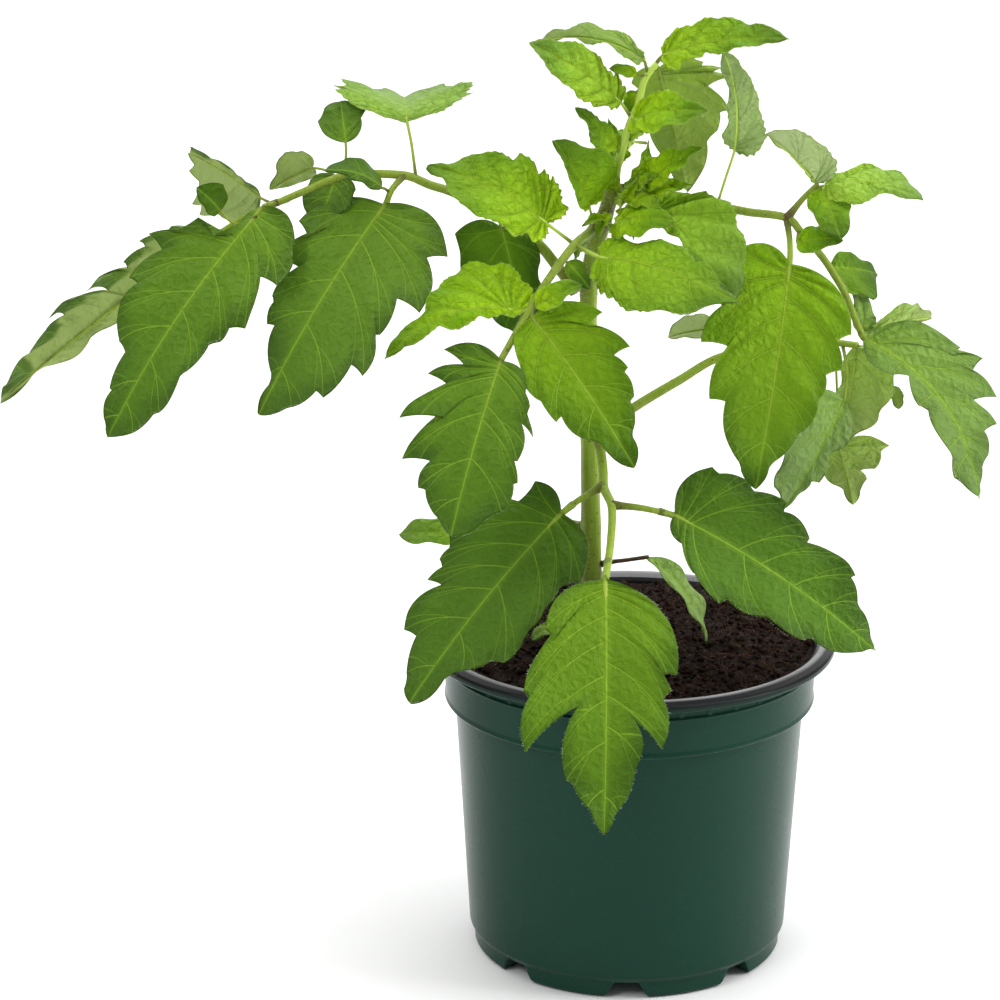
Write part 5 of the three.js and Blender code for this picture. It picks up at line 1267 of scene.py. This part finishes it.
# Leaf 7 is the young leaf that carries on the stem's line and stands up at the top. Its leaflets are
# yellow green, and puckered between the veins.
grow_leaf("leaf_7", "young_leaf", 0.85, 700, thick=1.5, thin=1, stalk=[
    (-6.8, -0.1, 268.5), (-6.2, -0.8, 272.5), (-4.5, -4, 280.5), (-2, -7, 290), (0.5, -7, 296),
    (2.6, -6, 304), (6.5, -5, 309),
], leaflets=[
    leaflet(
        [(-2, -7, 292)], (-5, -9, 297), (-35, -18, 318), (-0.2, -0.75, 0.65),
        bow=9, fold=7, teeth=0.35, tone=0.3, age=1.15,
        left=[19, 14, 24, 17, 27, 23, 31, 20, 46, 23, 50, 21, 63, 20, 67, 18, 82, 10, 88, 9],
        right=[5, 13, 10, 10, 19, 20, 19, 12, 32, 16, 37, 16, 47, 20, 53, 20, 74, 15, 82, 11]),
    leaflet(
        [(3.5, -6, 306)], (2, -4, 311), (-31, 4, 315), (0, 0.6, 0.8), bow=12, fold=-10, teeth=0.35, tone=0.6,
        left=[8, 28, 11, 26, 15, 48, 19, 38, 38, 40, 48, 36, 73, 25, 81, 16],
        right=[8, 20, 14, 16, 30, 12, 41, 9, 61, 8, 71, 5]),
    leaflet(
        [(6.3, -5, 309)], (8, -7, 312), (48, -16, 319), (0.1, -0.7, 0.7), bow=9, fold=8, teeth=0.25,
        left=[6, 13, 9, 15, 23, 20, 27, 18, 43, 20, 48, 18, 66, 16, 72, 11],
        right=[16, 20, 18, 12, 35, 14, 37, 10, 55, 11, 59, 9, 79, 7, 84, 4]),
    leaflet(
        [(-1.5, -7, 291)], (-1, -12, 292), (22, -28, 298), (0.1, -0.7, 0.72),
        bow=8, fold=10, teeth=0.3, age=1,
        left=[8, 25, 14, 24, 30, 30, 37, 25, 66, 16, 80, 9],
        right=[14, 28, 20, 27, 50, 35, 58, 30, 80, 20, 88, 12]),
    leaflet(
        [(-4.8, -3, 279)], (-6, -6, 281), (-20, -12, 296), (0.2, -0.8, 0.55),
        bow=6, fold=8, teeth=0.4, age=0.8,
        left=[36, 22, 44, 13, 66, 15, 76, 9], right=[15, 18, 24, 11, 49, 14, 57, 9]),
    leaflet(
        [(6, -5, 308.5)], (7, -1, 307), (18, 16, 262), (0.2, 0.8, -0.35), bow=6, fold=5, tone=0, age=0.35,
        left=[10, 20, 22, 16, 42, 20, 50, 16, 72, 12, 80, 8],
        right=[2, 30, 7, 28, 12, 40, 15, 33, 20, 44, 24, 28, 47, 38, 48, 32, 60, 28, 66, 20]),
    leaflet(
        [(3, -6, 305)], (0, -7, 306), (-9, -8, 308), (0, -0.7, 0.7), bow=5, fold=5,
        left=[40, 26, 62, 22], right=[40, 26, 62, 22]),
    leaflet(
        [(2.2, -6.2, 302)], (0, -6, 300), (-3, -5, 293), (-0.3, -0.8, 0.4), bow=5, fold=5,
        left=[40, 42, 62, 34], right=[40, 42, 62, 34]),
])

# Leaf 8 is the youngest opened leaf, in the middle, on a short stalk at the stem's top. Its largest
# leaflet droops forwards.
grow_leaf("leaf_8", "young_leaf", 0.9, 800, thick=1.3, thin=1, stalk=[
    (-5.6, -1.9, 262.9), (-2, -4.5, 264.5), (1.4, -7, 265), (5.3, -9, 262.5),
], leaflets=[
    leaflet(
        [(0, -6, 265)], (3, -9, 270), (21, -18, 284), (0, -0.75, 0.66), bow=8, fold=8, teeth=0.3, age=1.2,
        left=[8, 18, 14, 17, 29, 24, 39, 20, 66, 15, 80, 9],
        right=[11, 18, 19, 17, 42, 18, 51, 13, 75, 9, 85, 5]),
    leaflet(
        [(4, -8.5, 263.3)], (5.5, -10, 262.5), (30.7, -36, 237), (0.3, -0.7, 0.65),
        bow=9, fold=8, teeth=0.35, quilt=0.55, tone=0.3, age=0.75,
        left=[-7, 24, 1, 25, 6, 31, 12, 31, 20, 40, 26, 43, 50, 37, 58, 34, 78, 24, 86, 17],
        right=[32, 10, 44, 12, 56, 10, 66, 9, 83, 7, 89, 4]),
    leaflet(
        [(0, -6, 265), (-4, -10, 261)], (-7, -13, 258), (12, -24, 261), (0, -0.6, 0.8),
        bow=12, fold=-6, teeth=0.4, age=1,
        left=[4, 27, 12, 26, 41, 27, 61, 19], right=[22, 35, 33, 34, 62, 34, 76, 22]),
    leaflet(
        [(-0.5, -5.6, 264.8)], (-0.5, -7, 265.3), (8.2, -13, 274.6), (-0.4, -0.5, 0.8),
        bow=14, fold=20, age=1.2, teeth=0.3, quilt=0.2,
        left=[12, 18, 20, 14, 45, 24, 54, 17, 78, 12], right=[16, 20, 24, 15, 50, 22, 60, 14, 80, 10]),
    leaflet(
        [(1.4, -7, 265)], (2.4, -9, 265.1), (18.3, -15, 270.8), (0, -0.6, 0.8),
        bow=12, fold=18, age=1.3, teeth=0.3, quilt=0.2,
        left=[10, 16, 18, 12, 40, 22, 50, 16, 74, 13, 84, 7], right=[14, 18, 24, 14, 46, 20, 56, 13, 80, 9]),
    leaflet(
        [(-1, -5.2, 264.7)], (-2.6, -10, 263.6), (9.1, -19, 263.4), (0, -0.6, 0.8),
        bow=14, fold=20, age=1.1, teeth=0.3, quilt=0.2,
        left=[14, 20, 24, 15, 48, 24, 58, 16, 78, 11], right=[12, 18, 20, 14, 45, 24, 54, 17, 78, 12]),
    leaflet(
        [(-3, -4, 264.2)], (-5.1, -8.5, 261.8), (-0.6, -14, 252.6), (0.3, -0.8, 0.5),
        bow=14, fold=18, age=1.1, teeth=0.3, quilt=0.2,
        left=[12, 20, 22, 15, 50, 26, 60, 16, 80, 10], right=[14, 22, 22, 16, 46, 26, 56, 18, 78, 12]),
    leaflet(
        [(-2, -4.5, 264.5)], (-3.1, -4.6, 268.3), (4.3, -4, 283.4), (0.6, -0.8, -0.2),
        bow=12, fold=20, age=1.2, teeth=0.3, quilt=0.2,
        left=[10, 14, 18, 10, 40, 20, 50, 14, 76, 12, 84, 7], right=[12, 16, 22, 12, 48, 20, 58, 13, 80, 8]),
])

# The growing tip: a few unfolding leaves on one short stalk, and round it a tuft of small puckered
# leaflets that crowd out of the stem's top on every side. Each sprig is a base, a tip, a face and an
# age, and its stalk starts in the stem 2 mm below its base.
SPRIG_EDGE = [6, 18, 12, 15, 24, 25, 31, 20, 45, 24, 52, 18, 66, 18, 73, 12, 85, 8, 90, 5]
SPRIGS = [
    ((-6.0, -3.0, 266.1), (-7.8, -5.0, 279.9), (-0.5, -0.9, 0.1), 1.0),
    ((-8.3, -5.0, 259.2), (-12.9, -9.0, 251.4), (-0.3, -0.8, 0.5), 0.9),
    ((-7.6, -6.0, 256.1), (-5.0, -10.0, 248.3), (0.2, -0.9, 0.75), 1.0),
    ((-11.9, 3.0, 249.9), (-19.7, 7.0, 240.1), (-0.6, -0.6, 0.5), 0.6),
    ((-4.4, -6.0, 264.1), (1.3, -9.0, 272.7), (0.4, -0.9, 0.5), 1.1),
    ((-10.2, -6.0, 256.7), (-17.6, -12.0, 256.8), (0.0, -0.5, 0.8), 1.0),
    ((-1.6, -5.0, 283.8), (6.0, -8.0, 288.4), (-0.2, -0.6, 0.8), 1.1),
]
grow_leaf("tip_bud", "young_leaf", 1.0, 900, thick=1, thin=0.7, stalk=[
    (-7.4, 3.6, 266.5), (-6.4, 5, 270), (-4, 6.5, 275), (-1.5, 7, 281),
], leaflets=[
    leaflet(
        [(-1.5, 7, 281)], (-1, 7, 282), (5, 6, 292), (0.3, -0.8, 0.3), bow=5, fold=8, teeth=0.4,
        left=[35, 20, 60, 15], right=[35, 20, 60, 15]),
    leaflet(
        [(-5, 6, 273)], (-6, 6, 275), (-15, 8, 284), (0, -0.8, 0.6), bow=5, fold=8, teeth=0.4, age=0.8,
        left=[30, 30, 60, 22], right=[30, 30, 60, 22]),
    leaflet(
        [(-3, 6.5, 277)], (-3, 8, 278), (-4, 17, 283), (0, -0.4, 0.9), bow=5, fold=8, teeth=0.4,
        left=[30, 30, 60, 22], right=[30, 30, 60, 22]),
    leaflet(
        [(-4, 6.5, 275)], (-3.4, 1.2, 276), (-9, 1.6, 290), (-0.3, -0.9, 0.3),
        bow=14, fold=20, age=1, teeth=0.3, quilt=0.2,
        left=[12, 18, 20, 14, 45, 24, 54, 17, 78, 12], right=[14, 20, 24, 14, 50, 22, 60, 14, 80, 9]),
    leaflet(
        [(-6.7, 4.6, 269.2)], (-7, 1.5, 270.6), (-13.4, 1, 275.6), (0.2, -0.7, 0.7),
        bow=12, fold=18, age=1.1, teeth=0.3, quilt=0.2,
        left=[14, 24, 24, 17, 50, 26, 60, 16], right=[16, 22, 26, 16, 52, 24, 64, 14]),
    leaflet(
        [(-7.4, 4.2, 266.8)], (-10, 4.6, 264.4), (-19.8, 8, 264.4), (0.1, -0.6, 0.8),
        bow=12, fold=18, age=0.9, teeth=0.3, quilt=0.2,
        left=[12, 20, 22, 15, 48, 24, 58, 15, 80, 9], right=[14, 22, 24, 15, 50, 22, 62, 13]),
    *(leaflet([(-7.4 + 0.55 * (base[2] - 264), 0, base[2] - 2)], base, tip, face, bow=14, fold=22,
              age=sprig_age, teeth=0.3, quilt=0.2, left=SPRIG_EDGE, right=SPRIG_EDGE)
      for base, tip, face, sprig_age in SPRIGS),
])

# The two seed leaves that fed the seedling, each on a thin stalk low on the stem: one has withered and
# is pale, one is still green.
grow_leaf("seed_leaf_dry", "withered_leaf", 0.0, 1000, thick=0.7, thin=0.7, blush=0.9, stalk=[
    (-9.9, -1.7, 137.2), (-6, -3, 138.5), (-2, -3, 139), (6, -4, 140.5),
], leaflets=[
    leaflet(
        [(4, -3.9, 140.2)], (6, -4, 140.5), (25.5, -13.8, 113.5), (0.75, -0.5, 0.5),
        bow=12, fold=16, tone=1, age=0.5,
        left=[30, 14, 60, 13, 80, 7, 90, 4], right=[25, 16, 45, 17, 70, 10, 82, 5]),
])
grow_leaf("seed_leaf_green", "young_leaf", 0.6, 1100, thick=0.7, thin=0.7, stalk=[
    (-16.4, -1.9, 122), (-19, -3, 121), (-23, -4.5, 119), (-26, -6, 116.5),
], leaflets=[
    leaflet(
        [(-25, -5.6, 117.2)], (-26, -6, 116.5), (-33.5, -13, 113.8), (-0.2, -0.5, 0.85),
        bow=8, fold=5, tone=0.5, age=0.5,
        left=[35, 30, 65, 24], right=[35, 30, 65, 24]),
])
